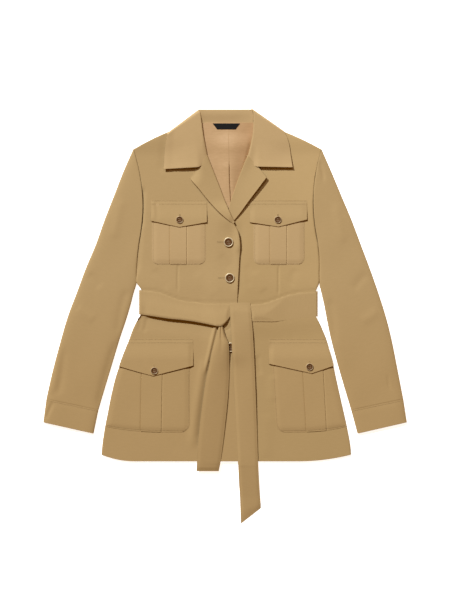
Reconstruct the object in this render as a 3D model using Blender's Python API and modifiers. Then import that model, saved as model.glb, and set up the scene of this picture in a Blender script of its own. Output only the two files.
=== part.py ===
"""A belted safari jacket laid flat on its back, front up.

Metres, +Z up. The collar points to +Y, and the wearer's right side is at -X. The origin is on the
floor, under the middle of the garment's own box. Sizes below are millimetres.
"""

import math

import bmesh
import bpy
import numpy as np

MM = 0.001

# Cloth and seams
CLOTH = 1.5
DOUBLE_CLOTH = 2.0
LINING_CLOTH = 1.0
LABEL_CLOTH = 0.6
SEAM = 0.3
REST = 0.5
SHARP_ANGLE = math.radians(40)

# Heights of the laid-out layers above the floor, and the rounding at the side seams
FRONT_TOP = 4.8
SIDE_SEAM_HEIGHT = 1.9
FRONT_SEAM_HEIGHT = 3.3
SIDE_FOLD = 4.0
SIDE_INSET = 1.2
FOLD_ANGLES = (-16, 16, 50, 90)
SLEEVE_HEIGHT = 6.6
CUFF_HEIGHT = 6.9
EDGE_DROP = 1.4

# Soft rises of the fronts: the chest, the upper front over the under one, the break of the lapels
CHEST_ROUND = {"left": (-96.0, 180.0), "right": (108.0, 180.0), "height": 0.9, "radius": 110.0}
OVERLAP = {"lift": 2.1, "from_x": -31.0, "over_x": 20.0, "below_y": 248.0, "over_y": 30.0}
OVERLAP_STEPS = (58.0, 38.0, 0.0)
BREAK_ROUND = {"at": (13.0, 210.0), "height": 3.4, "radius": 26.0}

# What lies behind the back and lifts the body: the belt, and the collar at the neck
UNDER_LIFT = 2.4
BELT_MARGIN = 5.0
BELT_RAMP = 16.0
COLLAR_RAMP = {"from_y": 336.0, "over": 38.0}

# Curves of the body: hem, shoulder and the gap along the armhole
HEM_CURVE = {"from_y": -255.0, "over": 34.0, "front": 7.0, "back": 12.5, "back_share": 0.3}
FRONT_SHOULDER = {"from_y": 300.0, "over": 48.0, "bow": 5.0}
BACK_SHOULDER = {"from_y": 190.0, "over": 158.0, "rise": 56.0, "bow": (20.0, 4.0), "share": 0.35}
BACK_NECK = {"from_share": 0.26, "over": 0.05, "edge": 0.06}
ARMHOLE_GAP = {"low": 0.9, "more": 1.6, "from_y": 318.0, "over": 26.0}
ARMHOLE_START = {"front": (100.0, 50.0), "back": (62.0, 30.0)}
SHOULDER_FOLD = 3.0
SHOULDER_SEAM = 0.6

# Overall reach
CUFF_REACH = 381.5
COLLAR_TOP = 434.7
CENTRE = 4.0
HEM = -303.4
NECK_SEAM = 406.0

# Belt
BELT_THICK = 2.0
BELT_REST = 0.8
EDGE_CURL = 1.5
BELT_LOW, BELT_HIGH = 2.0, 53.0
BELT_SIDE_ANGLES = (60, 30, 0, -30, -60, -90)
TAIL_TIP = -434.7

# Buttons: radius over the rim, height, width of the rim
FRONT_BUTTON = (10.0, 3.6, 2.2)
FLAP_BUTTON = (7.5, 3.0, 1.3)
BUTTON_REST = 0.9
BUTTON_SIDES = 14

# Rolled edges of lapels and collar
ROLL_REACH = 2.4
ROLL_START = -60.0
ROLL_END = 90.0
BACK_ROLL_START = -15.0
ROLL_COLUMNS = 5
LINING_REST = 0.2
BREAK_LOW = {"rise": 5.0, "below_y": 248.0, "over": 22.0}

COLOURS = {  # sRGB colour, roughness, metallic
    "cloth": ((0.74, 0.62, 0.42), 0.85, 0.0),
    "lining": ((0.77, 0.61, 0.44), 0.7, 0.0),
    "label": ((0.04, 0.04, 0.05), 0.8, 0.0),
    "horn": ((0.24, 0.14, 0.09), 0.3, 0.0),
    "brass": ((0.80, 0.68, 0.46), 0.3, 1.0),
}


def table(names, rows):
    """A short table as one array for each named column."""
    return dict(zip(names.split(), np.array(rows, float).T))


# The body's side edge from hem to armpit, at the left and the right of the photographed front
BODY_SIDE = table(
    "y left right",
    (
        (-289.5, -259.4, 264.6),
        (-276, -258.3, 263.6),
        (-238, -253.1, 257.2),
        (-200, -245.7, 248.9),
        (-163, -238.4, 240.5),
        (-125, -228.9, 232.1),
        (-100, -220.5, 226.8),
        (-75, -212.1, 220.5),
        (-49, -201.6, 213.2),
        (-24, -192.2, 203.0),
        (-9, -184.5, 196.2),
        (0.5, -177.2, 190.4),
        (28, -175.2, 189.8),
        (50, -174.0, 189.8),
        (58, -176.5, 192.5),
        (70, -185.6, 197.9),
        (90, -185.4, 198.2),
        (115, -184.4, 198.4),
        (150, -181.6, 196.2),
    ),
)

# The front edge of the upper front, and of the under front that lies below it
FRONT_LEFT_EDGE = table(
    "side_y x y",
    (
        (-289.5, 29, HEM),
        (-276, 29, -288),
        (-238, 28.5, -243),
        (-200, 28, -202),
        (-125, 27, -125),
        (-49, 26, -49),
        (28, 25.5, 28),
        (70, 27, 70),
        (115, 29.5, 115),
        (150, 31, 155),
        (166, 28, 175),
        (182, 19, 193),
        (200, 9.5, 209),
        (222, -0.5, 231),
        (250, -12, 262),
        (275, -23.5, 293),
        (300, -33.5, 319),
        (320, -41.5, 341),
        (335, -46.5, 366),
        (343, -49.5, 390),
        (348.5, -53, 408),
    ),
)
FRONT_RIGHT_EDGE = table(
    "side_y x y",
    (
        (-289.5, -9, HEM),
        (-276, -9, -288),
        (-238, -9, -243),
        (-200, -9, -202),
        (-49, -9, -49),
        (115, -9, 115),
        (150, -9, 155),
        (166, -9, 175),
        (182, -8, 193),
        (200, 2, 210),
        (222, 11.5, 230),
        (250, 23.5, 262),
        (275, 35, 293),
        (300, 45, 319),
        (320, 54.5, 341),
        (335, 60, 366),
        (343, 62.5, 390),
        (348.5, 63.5, 408),
    ),
)

# Sleeve sections from the armhole to the cuff seam, then the cuff's end
SLEEVE = table(
    "outer_y inner_y left_outer left_inner right_outer right_inner bow",
    (
        (349, 150, -189.5, -182.5, 201.0, 197.0, 14),
        (303, 115, -212.1, -186.0, 221.6, 200.2, 6),
        (253, 90, -232.1, -187.0, 242.6, 199.8, 2),
        (203, 70, -252.0, -187.3, 264.6, 199.6, 0),
        (152, 48, -270.9, -192.0, 284.6, 202.5, 0),
        (102, 22, -291.9, -198.7, 303.4, 208.5, 0),
        (51, -8, -310.8, -207.7, 321.3, 214.0, 0),
        (1, -46, -329.7, -220.5, 337.1, 222.0, 0),
        (-49, -90, -344.4, -233.8, 349.7, 233.4, 0),
        (-112, -143, -361.2, -249.7, 362.2, 248.6, 0),
        (-150, -175, -370.0, -259.3, 369.5, 258.2, 0),
        (-173, -196, -375.0, -265.5, 374.0, 264.5, 0),
    ),
)
CUFF_SHARES = (0.012, 0.5, 1.0)
SLEEVE_COLUMNS = 10
SLEEVE_SQUARENESS = 7
CUFF_END = {"outer_y": -217.0, "inner_y": -244.5, "left_inner": -276.5, "right_inner": 278.2}

# Lapels: sections from the gorge down to the break, roll line to outer edge
LAPEL_LEFT = table(
    "inner_x inner_y outer_x outer_y lift",
    (
        (-36.8, 338.5, -76.7, 292.9, 1.5),
        (-30.0, 321.0, -69.5, 285.0, 1.5),
        (-21.0, 298.0, -54.0, 267.5, 1.2),
        (-10.0, 270.0, -34.0, 242.5, 1.0),
        (2.0, 238.5, -11.6, 218.4, 0.6),
        (12.0, 217.0, 6.0, 203.0, 0.2),
        (20.5, 198.0, 17.0, 194.0, 0.0),
    ),
)
LAPEL_RIGHT = table(
    "inner_x inner_y outer_x outer_y lift",
    (
        (48.3, 338.5, 87.2, 291.9, 5.0),
        (42.0, 326.0, 81.5, 284.5, 5.0),
        (33.0, 303.0, 66.0, 264.0, 4.5),
        (22.5, 274.0, 48.0, 240.0, 3.2),
        (12.5, 246.0, 31.0, 216.5, 1.6),
        (4.0, 226.0, 15.0, 197.0, 0.0),
    ),
)

# Collar sections from one free edge, round behind the neck, to the other: the fold or roll line,
# the outer edge, how far the leaf has turned over, its middle height, half its spread, outer lift
COLLAR = table(
    "inner_x inner_y outer_x outer_y turn mid half lift notch",
    (
        (-37.2, 339.5, -128.5, 309.1, 0, 5.35, 2.25, 6.0, 1.0),
        (-38.4, 346.0, -127.8, 322.0, 0, 5.9, 2.4, 4.5, 0.5),
        (-41.5, 362.0, -126.0, 346.0, 0, 7.2, 2.3, 1.8, 0.0),
        (-46.0, 388.0, -123.5, 366.0, 0, 7.9, 2.3, 0.2, 0.0),
        (-50.5, 424.0, -121.0, 381.5, 0, 6.8, 3.4, 0.0, 0.0),
        (-52.4, 431.0, -120.6, 384.5, 40, 5.2, 4.8, 0.0, 0.0),
        (-53.0, 433.5, -120.2, 385.5, 90, 5.0, 4.8, 0.0, 0.0),
        (-51.0, 434.5, -117.0, 383.5, 140, 4.7, 4.7, 0.0, 0.0),
        (-46.0, COLLAR_TOP, -108.0, 380.5, 180, 4.2, 4.2, 0.0, 0.0),
        (-22.0, COLLAR_TOP, -52.0, 378.5, 180, 3.6, 3.6, 0.0, 0.0),
        (3.5, COLLAR_TOP, 3.5, 378.0, 180, 3.6, 3.6, 0.0, 0.0),
        (29.0, COLLAR_TOP, 60.0, 378.5, 180, 3.6, 3.6, 0.0, 0.0),
        (50.5, COLLAR_TOP, 112.0, 380.5, 180, 4.2, 4.2, 0.0, 0.0),
        (54.5, 434.5, 120.5, 384.5, 140, 4.7, 4.7, 0.0, 0.0),
        (56.8, 433.5, 123.5, 386.5, 90, 5.0, 4.8, 0.0, 0.0),
        (57.8, 431.0, 125.0, 385.0, 40, 5.2, 4.8, 0.0, 0.0),
        (59.3, 424.0, 127.6, 381.5, 0, 6.8, 3.4, 0.0, 0.0),
        (58.5, 388.0, 134.4, 366.0, 0, 7.9, 2.3, 0.2, 0.0),
        (54.0, 362.0, 138.2, 346.0, 0, 7.2, 2.3, 1.8, 0.0),
        (50.0, 346.0, 141.4, 325.0, 0, 5.9, 2.4, 4.5, 0.5),
        (48.6, 339.5, 142.8, 312.9, 0, 5.35, 2.25, 6.0, 1.0),
    ),
)
NOTCH_SHARE = 0.2
NOTCH_DROP = 16.0
LEAF_SHARES = (0.1, 0.2, 0.4, 0.6, 0.8, 1.0)
LEAF_BULGE = ((0.0, 0.08, 0.3, 0.45, 1.0), (0.0, 0.0, 1.0, 1.0, 0.4))

# Lining seen in the neck opening: left and right edge, top to bottom
NECK_LINING = table(
    "y left right",
    (
        (405.4, -44, 51),
        (380, -49, 60.5),
        (345, -45, 54.5),
        (315, -36, 44),
        (285, -23, 33),
        (255, -12, 22),
        (228, -2, 12),
    ),
)
STAND = {"y": (NECK_SEAM + 0.6, 418.5, 430.4), "edges": ((-46.0, -1.5), (53.0, 2.5)), "height": 1.6}
LABEL = {"top": 405.0, "bottom": 393.0, "top_half": 28.5, "bottom_half": 19.3, "middle": 2.8}

# Patch pockets: box and pleat folds; the hip pockets run out to the side seam
CHEST_POCKET = {"bottom": 109.4, "top": 236.0, "corner": 14.0, "pleat_half": 17.0}
CHEST_FLAP = {"top": 243.6, "inner": 198.5, "outer": 198.5, "point": 187.7}
HIP_POCKET = {"bottom": -242.6, "top": -60.0, "corner": 19.0, "rise": 12.0, "puff_share": 0.91}
HIP_FLAP_TOP = -47.5
CORNER_ANGLES = (0, 30, 60, 90)
PLEAT_LIFT = 0.8
PLEAT_FOLD = 1.2
POCKET_PUFF = 0.7
FLAP_RAMP = 6.5
FLAP_CLEAR = 0.2
FLAP_CURL = 0.8
FLAP_SHARES = (1.0, 0.75, 0.5, 0.3, 0.14, 0.0)
CHEST_POCKETS = {  # pocket edges, flap edges, middle
    "left": {"edges": (-153.3, -41.0), "flap": (-155.4, -38.2), "middle": -96.0},
    "right": {"edges": (59.9, 166.5), "flap": (51.8, 171.8), "middle": 112.0},
}
HIP_POCKETS = {  # inner edge and pleat folds at the pocket's top and bottom, then the flap
    "left": {
        "inner": (-74.5, -74.5),
        "pleats": ((-173.7, -177.0), (-131.0, -134.4)),
        "flap_inner": -67.0,
        "flap_point": -150.8,
        "flap": {"top": HIP_FLAP_TOP, "inner": -103.0, "outer": -104.6, "point": -124.5},
    },
    "right": {
        "inner": (96.6, 107.5),
        "pleats": ((160.7, 171.4), (202.7, 212.4)),
        "flap_inner": 92.0,
        "flap_point": 181.7,
        "flap": {"top": HIP_FLAP_TOP, "inner": -99.0, "outer": -103.5, "point": -119.0},
    },
}

# Profiles of a button's disc and rim: share of the radius or the rim's width, share of the height
BUTTON_DISH = ((0, 0.62), (0.55, 0.66), (1, 0.86), (1, 0), (0, 0))
BUTTON_RIM = ((0, 0.9), (0.5, 1.0), (1, 0.7), (1, 0), (0, 0))

FRONT_BUTTONS = ((7.4, 156.0), (9.9, 80.9), (11.5, -64.5))
FLAP_BUTTONS = {
    "chest_left": (-95.3, 203.1),
    "chest_right": (110.9, 203.1),
    "hip_left": (-148.3, -113.6),
    "hip_right": (177.5, -105.6),
}

# Belt at the front: lower and upper edge against x, and the lift of the lower edge
BELT_LEFT = table(
    "x low high lift",
    (
        (-177, 4.5, 55.7, 0.0),
        (-162, 2.3, 54.5, 0.8),
        (-140, -1.0, 51.9, 2.8),
        (-113, -4.8, 41.5, 4.2),
        (-94, -6.6, 35.0, 4.6),
        (-69, -9.8, 31.5, 4.8),
        (-40, -15.2, 28.6, 4.8),
        (-23.5, -18.5, 28.5, 4.6),
        (-6, -19.3, 28.5, 4.2),
        (9, -5.5, 28.5, 3.0),
    ),
)
BELT_RIGHT = table(
    "x low high lift",
    (
        (191, 0.2, 53.1, 0.0),
        (178, -1.1, 52.5, 0.0),
        (151, -3.5, 49.4, 0.0),
        (124, -8.0, 43.1, 0.0),
        (105, -10.5, 36.0, 0.0),
        (82, -10.5, 28.5, 0.0),
        (60, -10.5, 26.5, 0.0),
        (40, -10.5, 21.0, 0.0),
    ),
)
BELT_BACK = (-148.0, 163.0)
BELT_SIDE = {"left": -180.6, "right": 194.4}

# Belt ends: edges against y, heights of the underside at both edges, and how far the cloth arches
LONG_TAIL = table(
    "y left right under_left under_right arch",
    (
        (27.6, 10.5, 53.0, 8.6, 8.4, 0.0),
        (28.8, 10.2, 53.2, 10.2, 9.8, 0.0),
        (26.6, 10.0, 53.4, 12.4, 11.6, 0.0),
        (20.0, 10.0, 53.8, 13.2, 11.8, 0.0),
        (0.0, 11.2, 55.4, 13.2, 11.8, 0.3),
        (-14.0, 11.9, 56.5, 12.8, 10.6, 0.4),
        (-34.0, 13.0, 58.2, 12.2, 8.4, 0.4),
        (-66.0, 14.7, 60.2, 12.3, 8.0, 0.4),
        (-84.0, 15.7, 61.0, 11.8, 8.0, 0.4),
        (-112.0, 17.1, 62.2, 8.4, 7.6, 0.5),
        (-165.0, 19.9, 64.5, 7.6, 7.6, 0.6),
        (-235.0, 23.6, 67.0, 7.6, 7.6, 0.5),
        (-303.0, 27.2, 69.3, 7.5, 7.5, 0.4),
        (-318.0, 28.0, 69.9, 5.4, 5.4, 0.4),
        (-340.0, 29.1, 71.0, 1.0, 1.0, 0.3),
        (-352.0, 29.7, 71.6, 0.0, 0.0, 0.0),
        (-380.0, 31.1, 73.1, 0.0, 0.0, 0.0),
        (-402.0, 32.2, 74.5, 0.0, 0.0, 0.0),
    ),
)
SHORT_TAIL = table(
    "y left right under_left under_right arch",
    (
        (-22.5, -13.5, -3.6, 8.0, 8.0, 3.4),
        (-30.0, -15.6, -1.8, 8.0, 8.0, 3.8),
        (-42.0, -18.4, 1.6, 8.0, 8.0, 4.0),
        (-54.0, -22.0, 6.0, 8.4, 11.8, 3.6),
        (-66.0, -25.4, 8.2, 9.6, 12.3, 3.0),
        (-84.0, -29.8, 8.8, 9.0, 11.8, 2.6),
        (-108.0, -34.0, 9.1, 8.0, 8.2, 2.4),
        (-133.0, -39.9, 8.2, 7.6, 7.6, 1.8),
        (-175.0, -46.2, 5.6, 7.6, 7.6, 1.4),
        (-217.0, -51.5, 1.4, 7.6, 7.6, 1.2),
        (-270.0, -56.7, -4.6, 7.6, 7.6, 1.0),
        (-304.0, -58.6, -9.4, 7.4, 7.4, 0.6),
        (-312.0, -59.1, -10.9, 6.6, 6.6, 0.4),
        (-324.4, -59.9, -13.2, 5.6, 5.6, 0.3),
    ),
)


def ease(share):
    """A soft step from 0 to 1."""
    t = np.clip(share, 0.0, 1.0)
    return t * t * (3.0 - 2.0 * t)


def through(columns, key, name, at):
    """The named column at the given key value, on a smooth curve through the table's rows."""
    keys, values = columns[key], columns[name]
    if keys[0] > keys[-1]:
        keys, values = keys[::-1], values[::-1]
    slopes = np.gradient(values, keys)
    at = np.clip(at, keys[0], keys[-1])
    i = np.clip(np.searchsorted(keys, at) - 1, 0, len(keys) - 2)
    step = keys[i + 1] - keys[i]
    t = (at - keys[i]) / step
    start = values[i] * (1 + 2 * t) * (1 - t) ** 2 + slopes[i] * step * t * (1 - t) ** 2
    end = values[i + 1] * t**2 * (3 - 2 * t) + slopes[i + 1] * step * t**2 * (t - 1)
    return start + end


def dense(columns, per_span):
    """The table with extra smooth rows between its own, counted along the rows."""
    names = list(columns)
    count = len(columns[names[0]])
    rows = dict(columns, row=np.arange(count, dtype=float))
    at = np.linspace(0, count - 1, (count - 1) * per_span + 1)
    return {name: through(rows, "row", name, at) for name in names}


def bell(x, y, at, radius):
    """A soft round bump of height 1."""
    return np.exp(-((x - at[0]) ** 2 + (y - at[1]) ** 2) / radius**2)


def under_lift(y):
    """How far the belt behind the waist and the collar behind the neck lift the body off the floor."""
    low, high = BELT_LOW - BELT_MARGIN, BELT_HIGH + BELT_MARGIN
    belt = ease((y - low + BELT_RAMP) / BELT_RAMP) * ease((high + BELT_RAMP - y) / BELT_RAMP)
    collar = ease((y - COLLAR_RAMP["from_y"]) / COLLAR_RAMP["over"])
    return UNDER_LIFT * np.maximum(belt, collar)


def back_top(y):
    """Height of the inside of the back."""
    return CLOTH + under_lift(y)


def lining_top(y):
    """Height of the lining's outside in the neck opening."""
    return back_top(y) + SEAM + LINING_REST + LINING_CLOTH


def front_height(side, x, y):
    """Height of the outside of a front panel away from its rounded edges."""
    height = FRONT_TOP + under_lift(y)
    height = height + CHEST_ROUND["height"] * bell(x, y, CHEST_ROUND[side], CHEST_ROUND["radius"])
    if side == "left":
        over = ease((x - OVERLAP["from_x"]) / OVERLAP["over_x"])
        below = ease((OVERLAP["below_y"] - y) / OVERLAP["over_y"])
        height = height + OVERLAP["lift"] * over * below
        height = height + BREAK_ROUND["height"] * bell(x, y, BREAK_ROUND["at"], BREAK_ROUND["radius"])
    return height


def armhole(side, share):
    """Plan point on the sleeve's armhole edge, from the shoulder tip to the underarm."""
    outer = np.array([SLEEVE[f"{side}_outer"][0], SLEEVE["outer_y"][0]])
    inner = np.array([SLEEVE[f"{side}_inner"][0], SLEEVE["inner_y"][0]])
    towards_body = 1.0 if side == "left" else -1.0
    point = outer + (inner - outer) * share
    point[0] += towards_body * SLEEVE["bow"][0] * 4 * share * (1 - share)
    return point


def body_side(side, y):
    """Plan x of the body's edge at this height, up the side and then along the armhole."""
    armpit = BODY_SIDE["y"][-1]
    if y <= armpit:
        return float(through(BODY_SIDE, "y", side, y))
    top = SLEEVE["outer_y"][0]
    share = (top - y) / (top - SLEEVE["inner_y"][0])
    upper = float(ease((y - ARMHOLE_GAP["from_y"]) / ARMHOLE_GAP["over"]))
    gap = ARMHOLE_GAP["low"] + ARMHOLE_GAP["more"] * upper
    return armhole(side, share)[0] + (gap if side == "left" else -gap)


def material(name):
    """One Principled material, made the first time that it is asked for."""
    found = bpy.data.materials.get(name)
    if found:
        return found
    made = bpy.data.materials.new(name)
    made.use_nodes = True
    shader = made.node_tree.nodes["Principled BSDF"]
    colour, roughness, metallic = COLOURS[name]
    linear = [((c + 0.055) / 1.055) ** 2.4 if c > 0.04045 else c / 12.92 for c in colour]
    shader.inputs["Base Color"].default_value = (*linear, 1.0)
    shader.inputs["Roughness"].default_value = roughness
    shader.inputs["Metallic"].default_value = metallic
    return made


def place(name, mesh, finish):
    """A named object of this mesh in the jacket's collection."""
    piece = bpy.data.objects.new(name, mesh)
    mesh.materials.append(material(finish))
    mesh.shade_smooth()
    mesh.set_sharp_from_angle(angle=SHARP_ANGLE)
    bpy.data.collections["belted_jacket"].objects.link(piece)
    return piece


def wall(name, grid, thickness, finish="cloth", ring=False):
    """A cloth wall: the outer surface through the grid's rows of points, thickened inwards.

    Rows and columns run so that the outside faces the right way; a ring joins its columns up.
    """
    grid = np.asarray(grid, float) * MM
    rows, columns = grid.shape[:2]
    shape = bmesh.new()
    points = [[shape.verts.new(p) for p in row] for row in grid]
    spans = columns if ring else columns - 1
    for r in range(rows - 1):
        for c in range(spans):
            d = (c + 1) % columns
            shape.faces.new((points[r][c], points[r][d], points[r + 1][d], points[r + 1][c]))
    mesh = bpy.data.meshes.new(name)
    shape.to_mesh(mesh)
    shape.free()
    piece = place(name, mesh, finish)
    solid = piece.modifiers.new("cloth", "SOLIDIFY")
    solid.thickness = thickness * MM
    solid.offset = -1.0
    solid.use_even_offset = False
    return piece


def fold_columns(width, count, sewn, both=False, steps=()):
    """Distances across a panel from its folded side: (distance, share of full height).

    Where the side isn't sewn the columns spread evenly instead of rounding over. The steps are
    distances from the far edge that have a column of their own.
    """
    fold = []
    for i, angle in enumerate(FOLD_ANGLES):
        a = math.radians(angle)
        spread = SIDE_FOLD * i / (len(FOLD_ANGLES) - 1)
        fold.append((spread + (SIDE_FOLD * (1 - math.cos(a)) - spread) * sewn, math.sin(a)))
    far = SIDE_FOLD if both else max(steps, default=0.0)
    flat = [(float(d), 1.0) for d in np.linspace(SIDE_FOLD, width - far, count)[1:]]
    flat += [(width - d, 1.0) for d in steps[1:]]
    other = [(width - d, h) for d, h in reversed(fold[:-1])] if both else []
    return fold + flat + other


def shoulder_share(side_y):
    """How far a front or back row is from the folded shoulder: 0 on it, 1 clear of it."""
    top = SLEEVE["outer_y"][0] - REST
    return math.sqrt(1 - max(0.0, 1 - (top - side_y) / SHOULDER_FOLD) ** 2)


def hem_share(side_y):
    """How much of the hem's curve a row takes part in."""
    return float(ease((HEM_CURVE["from_y"] - side_y) / HEM_CURVE["over"]))


def make_front(side, edge, rows):
    """One front panel, from its side seam and armhole to its front edge and roll line."""
    steps = OVERLAP_STEPS if side == "left" else ()
    flat_columns = 7 if steps else 9
    armhole_y, armhole_over = ARMHOLE_START["front"]
    grid = []
    for side_y in rows:
        start = np.array([body_side(side, side_y), side_y])
        end = np.array([through(edge, "side_y", "x", side_y), through(edge, "side_y", "y", side_y)])
        chord = end - start
        width = np.linalg.norm(chord)
        open_share = float(ease((side_y - armhole_y) / armhole_over))
        shoulder = shoulder_share(side_y)
        slope = ease((side_y - FRONT_SHOULDER["from_y"]) / FRONT_SHOULDER["over"])
        row = []
        for distance, rise in fold_columns(width, flat_columns, 1 - open_share, steps=steps):
            share = distance / width
            x, y = start + chord * share
            y -= hem_share(side_y) * HEM_CURVE["front"] * (1 - (1 - share) ** 5 - share)
            y += FRONT_SHOULDER["bow"] * slope * 4 * share * (1 - share)
            top = float(front_height(side, x, y))
            seam = FRONT_SEAM_HEIGHT + float(under_lift(y))
            low = seam + (top - EDGE_DROP - seam) * open_share
            z = low + (top - low) * rise
            folded = seam + SHOULDER_SEAM
            row.append((x, y, folded + (z - folded) * shoulder))
        grid.append(row if side == "left" else row[::-1])
    return wall(f"front_{side}", grid, CLOTH)


def make_back(rows):
    """The back, flat on the floor, from side seam to side seam and from hem to neck."""
    armhole_y, armhole_over = ARMHOLE_START["back"]
    grid = []
    for side_y in rows:
        left, right = body_side("left", side_y), body_side("right", side_y)
        width = right - left
        sewn = 1.0 - float(ease((side_y - armhole_y) / armhole_over))
        shoulder = shoulder_share(side_y)
        slope = float(ease((side_y - BACK_SHOULDER["from_y"]) / BACK_SHOULDER["over"]))
        row = []
        for distance, rise in fold_columns(width, 11, sewn, both=True):
            share = distance / width
            inward = min(share, 1 - share)
            x = left + distance
            curve = 1 - (1 - min(1.0, inward / HEM_CURVE["back_share"])) ** 2
            y = side_y - hem_share(side_y) * HEM_CURVE["back"] * curve
            up = min(1.0, inward / BACK_SHOULDER["share"])
            bow = BACK_SHOULDER["bow"][0 if share < 0.5 else 1]
            y += slope * (BACK_SHOULDER["rise"] * up + bow * up * (1 - up))
            neck = float(ease((inward - BACK_NECK["from_share"]) / BACK_NECK["over"]))
            folded = (1 - shoulder) * (1 - neck) * float(ease(inward / BACK_NECK["edge"]))
            edge = SIDE_SEAM_HEIGHT * max((1 - rise) * sewn, folded)
            row.append((x, y, edge + float(under_lift(y))))
        grid.append(row[::-1])
    return wall("back", grid, CLOTH)


def sleeve_ring(side, row, height):
    """Points round one flattened section of a sleeve, flat underneath and crowned on top."""
    outer = np.array([row[f"{side}_outer"], row["outer_y"]])
    inner = np.array([row[f"{side}_inner"], row["inner_y"]])
    chord = inner - outer
    middle = height / 2.0
    top = [(1 - math.cos(a)) / 2 for a in np.linspace(0, math.pi, SLEEVE_COLUMNS)]
    ring = []
    for share, upper in [(s, True) for s in top] + [(s, False) for s in reversed(top[1:-1])]:
        x, y = outer + chord * share
        x += (1 if side == "left" else -1) * row["bow"] * 4 * share * (1 - share)
        spread = math.sqrt(1 - abs(2 * share - 1) ** SLEEVE_SQUARENESS)
        ring.append((x, y, middle + middle * spread * (1 if upper else -1)))
    return ring[::-1] if side == "left" else ring


def make_sleeve(side):
    """The sleeve from armhole to cuff seam, and the cuff, each an open flattened tube."""
    rows = [{name: column[i] for name, column in SLEEVE.items()} for i in range(len(SLEEVE["bow"]))]
    wall(f"sleeve_{side}", [sleeve_ring(side, row, SLEEVE_HEIGHT) for row in rows], CLOTH, ring=True)
    last = rows[-1]
    end = dict(CUFF_END, bow=0.0, left_outer=-CUFF_REACH, right_outer=CUFF_REACH)
    grid = []
    for share in CUFF_SHARES:
        row = {name: last[name] + (end[name] - last[name]) * share for name in last}
        grid.append(sleeve_ring(side, row, CUFF_HEIGHT))
    wall(f"cuff_{side}", grid, DOUBLE_CLOTH, ring=True)


def roll_angles(start):
    """Angles round a rolled edge, from inside the roll to its top, in radians."""
    return np.radians(np.linspace(start, ROLL_END, ROLL_COLUMNS))


def make_lapel(side, sections):
    """The turned-back lapel: rolled over at its inner edge and lying on the front."""
    rows = dense(sections, 2)
    grid = []
    for i in range(len(rows["lift"])):
        inner = np.array([rows["inner_x"][i], rows["inner_y"][i]])
        outer = np.array([rows["outer_x"][i], rows["outer_y"][i]])
        chord = outer - inner
        width = np.linalg.norm(chord)
        reach = min(ROLL_REACH, width / 3)
        row = []
        for angle in roll_angles(ROLL_START):
            x, y = inner + chord / width * reach * (1 - math.cos(angle))
            face = float(front_height(side, x, y)) + REST + DOUBLE_CLOTH
            low = lining_top(y) + SEAM
            if side == "left":
                low += BREAK_LOW["rise"] * float(ease((BREAK_LOW["below_y"] - y) / BREAK_LOW["over"]))
            middle = (face + low) / 2
            row.append((x, y, middle + (face - middle) * math.sin(angle)))
        for share in np.linspace(0, 1, 5)[1:]:
            x, y = inner + chord * (reach / width + (1 - reach / width) * share)
            z = float(front_height(side, x, y)) + REST + DOUBLE_CLOTH + rows["lift"][i] * share**EDGE_CURL
            row.append((x, y, z))
        grid.append(row if side == "right" else row[::-1])
    return wall(f"lapel_{side}", grid[::-1], DOUBLE_CLOTH)


def make_collar():
    """The collar in one piece: a leaf over each front, joined behind the neck."""
    rows = COLLAR
    grid = []
    for i in range(len(rows["turn"])):
        inner = np.array([rows["inner_x"][i], rows["inner_y"][i]])
        outer = np.array([rows["outer_x"][i], rows["outer_y"][i]])
        chord = outer - inner
        width = np.linalg.norm(chord)
        turn = math.radians(rows["turn"][i])
        side = -1.0 if inner[0] < CENTRE else 1.0
        outwards = np.array([-chord[1], chord[0]]) / width * side * math.sin(turn) / 2
        half = rows["half"][i]
        row = []
        for angle in roll_angles(ROLL_START + (BACK_ROLL_START - ROLL_START) * float(ease(turn / math.pi))):
            offset = half * math.sin(angle)
            plan = inner + chord / width * ROLL_REACH * (1 - math.cos(angle)) + outwards * offset
            row.append((*plan, rows["mid"][i] + offset * math.cos(turn)))
        for share in LEAF_SHARES:
            along = ROLL_REACH / width + (1 - ROLL_REACH / width) * share
            plan = inner + chord * along + outwards * half
            dip = np.interp(share, (0, NOTCH_SHARE, 1), (0, 1, 0)) * NOTCH_DROP * rows["notch"][i]
            z = rows["mid"][i] + half * math.cos(turn) + rows["lift"][i] * np.interp(share, *LEAF_BULGE)
            row.append((plan[0], plan[1] - dip, z))
        grid.append(row)
    return wall("collar", grid[::-1], DOUBLE_CLOTH)


def make_neck():
    """The collar stand, the lining and the blank label that show in the neck opening."""
    level = UNDER_LIFT + CLOTH + SEAM + STAND["height"]
    stand = []
    for share, y in zip((0.0, 0.5, 1.0), STAND["y"]):
        left, right = (edge + spread * share for edge, spread in STAND["edges"])
        stand.append([(x, y, level + SEAM * share) for x in np.linspace(left, right, 7)])
    wall("collar_stand", stand, CLOTH)
    lining = []
    for y in np.linspace(NECK_LINING["y"][-1], NECK_LINING["y"][0], 10):
        left, right = (float(through(NECK_LINING, "y", name, y)) for name in ("left", "right"))
        lining.append([(x, y, lining_top(y)) for x in np.linspace(left, right, 7)])
    wall("neck_lining", lining, LINING_CLOTH, "lining")
    label = []
    for y, half in ((LABEL["bottom"], LABEL["bottom_half"]), (LABEL["top"], LABEL["top_half"])):
        z = lining_top(y) + SEAM + LABEL_CLOTH
        label.append([(LABEL["middle"] + half * s, y, z) for s in (-1, -0.5, 0, 0.5, 1)])
    wall("neck_label", label, LABEL_CLOTH, "label")


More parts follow.
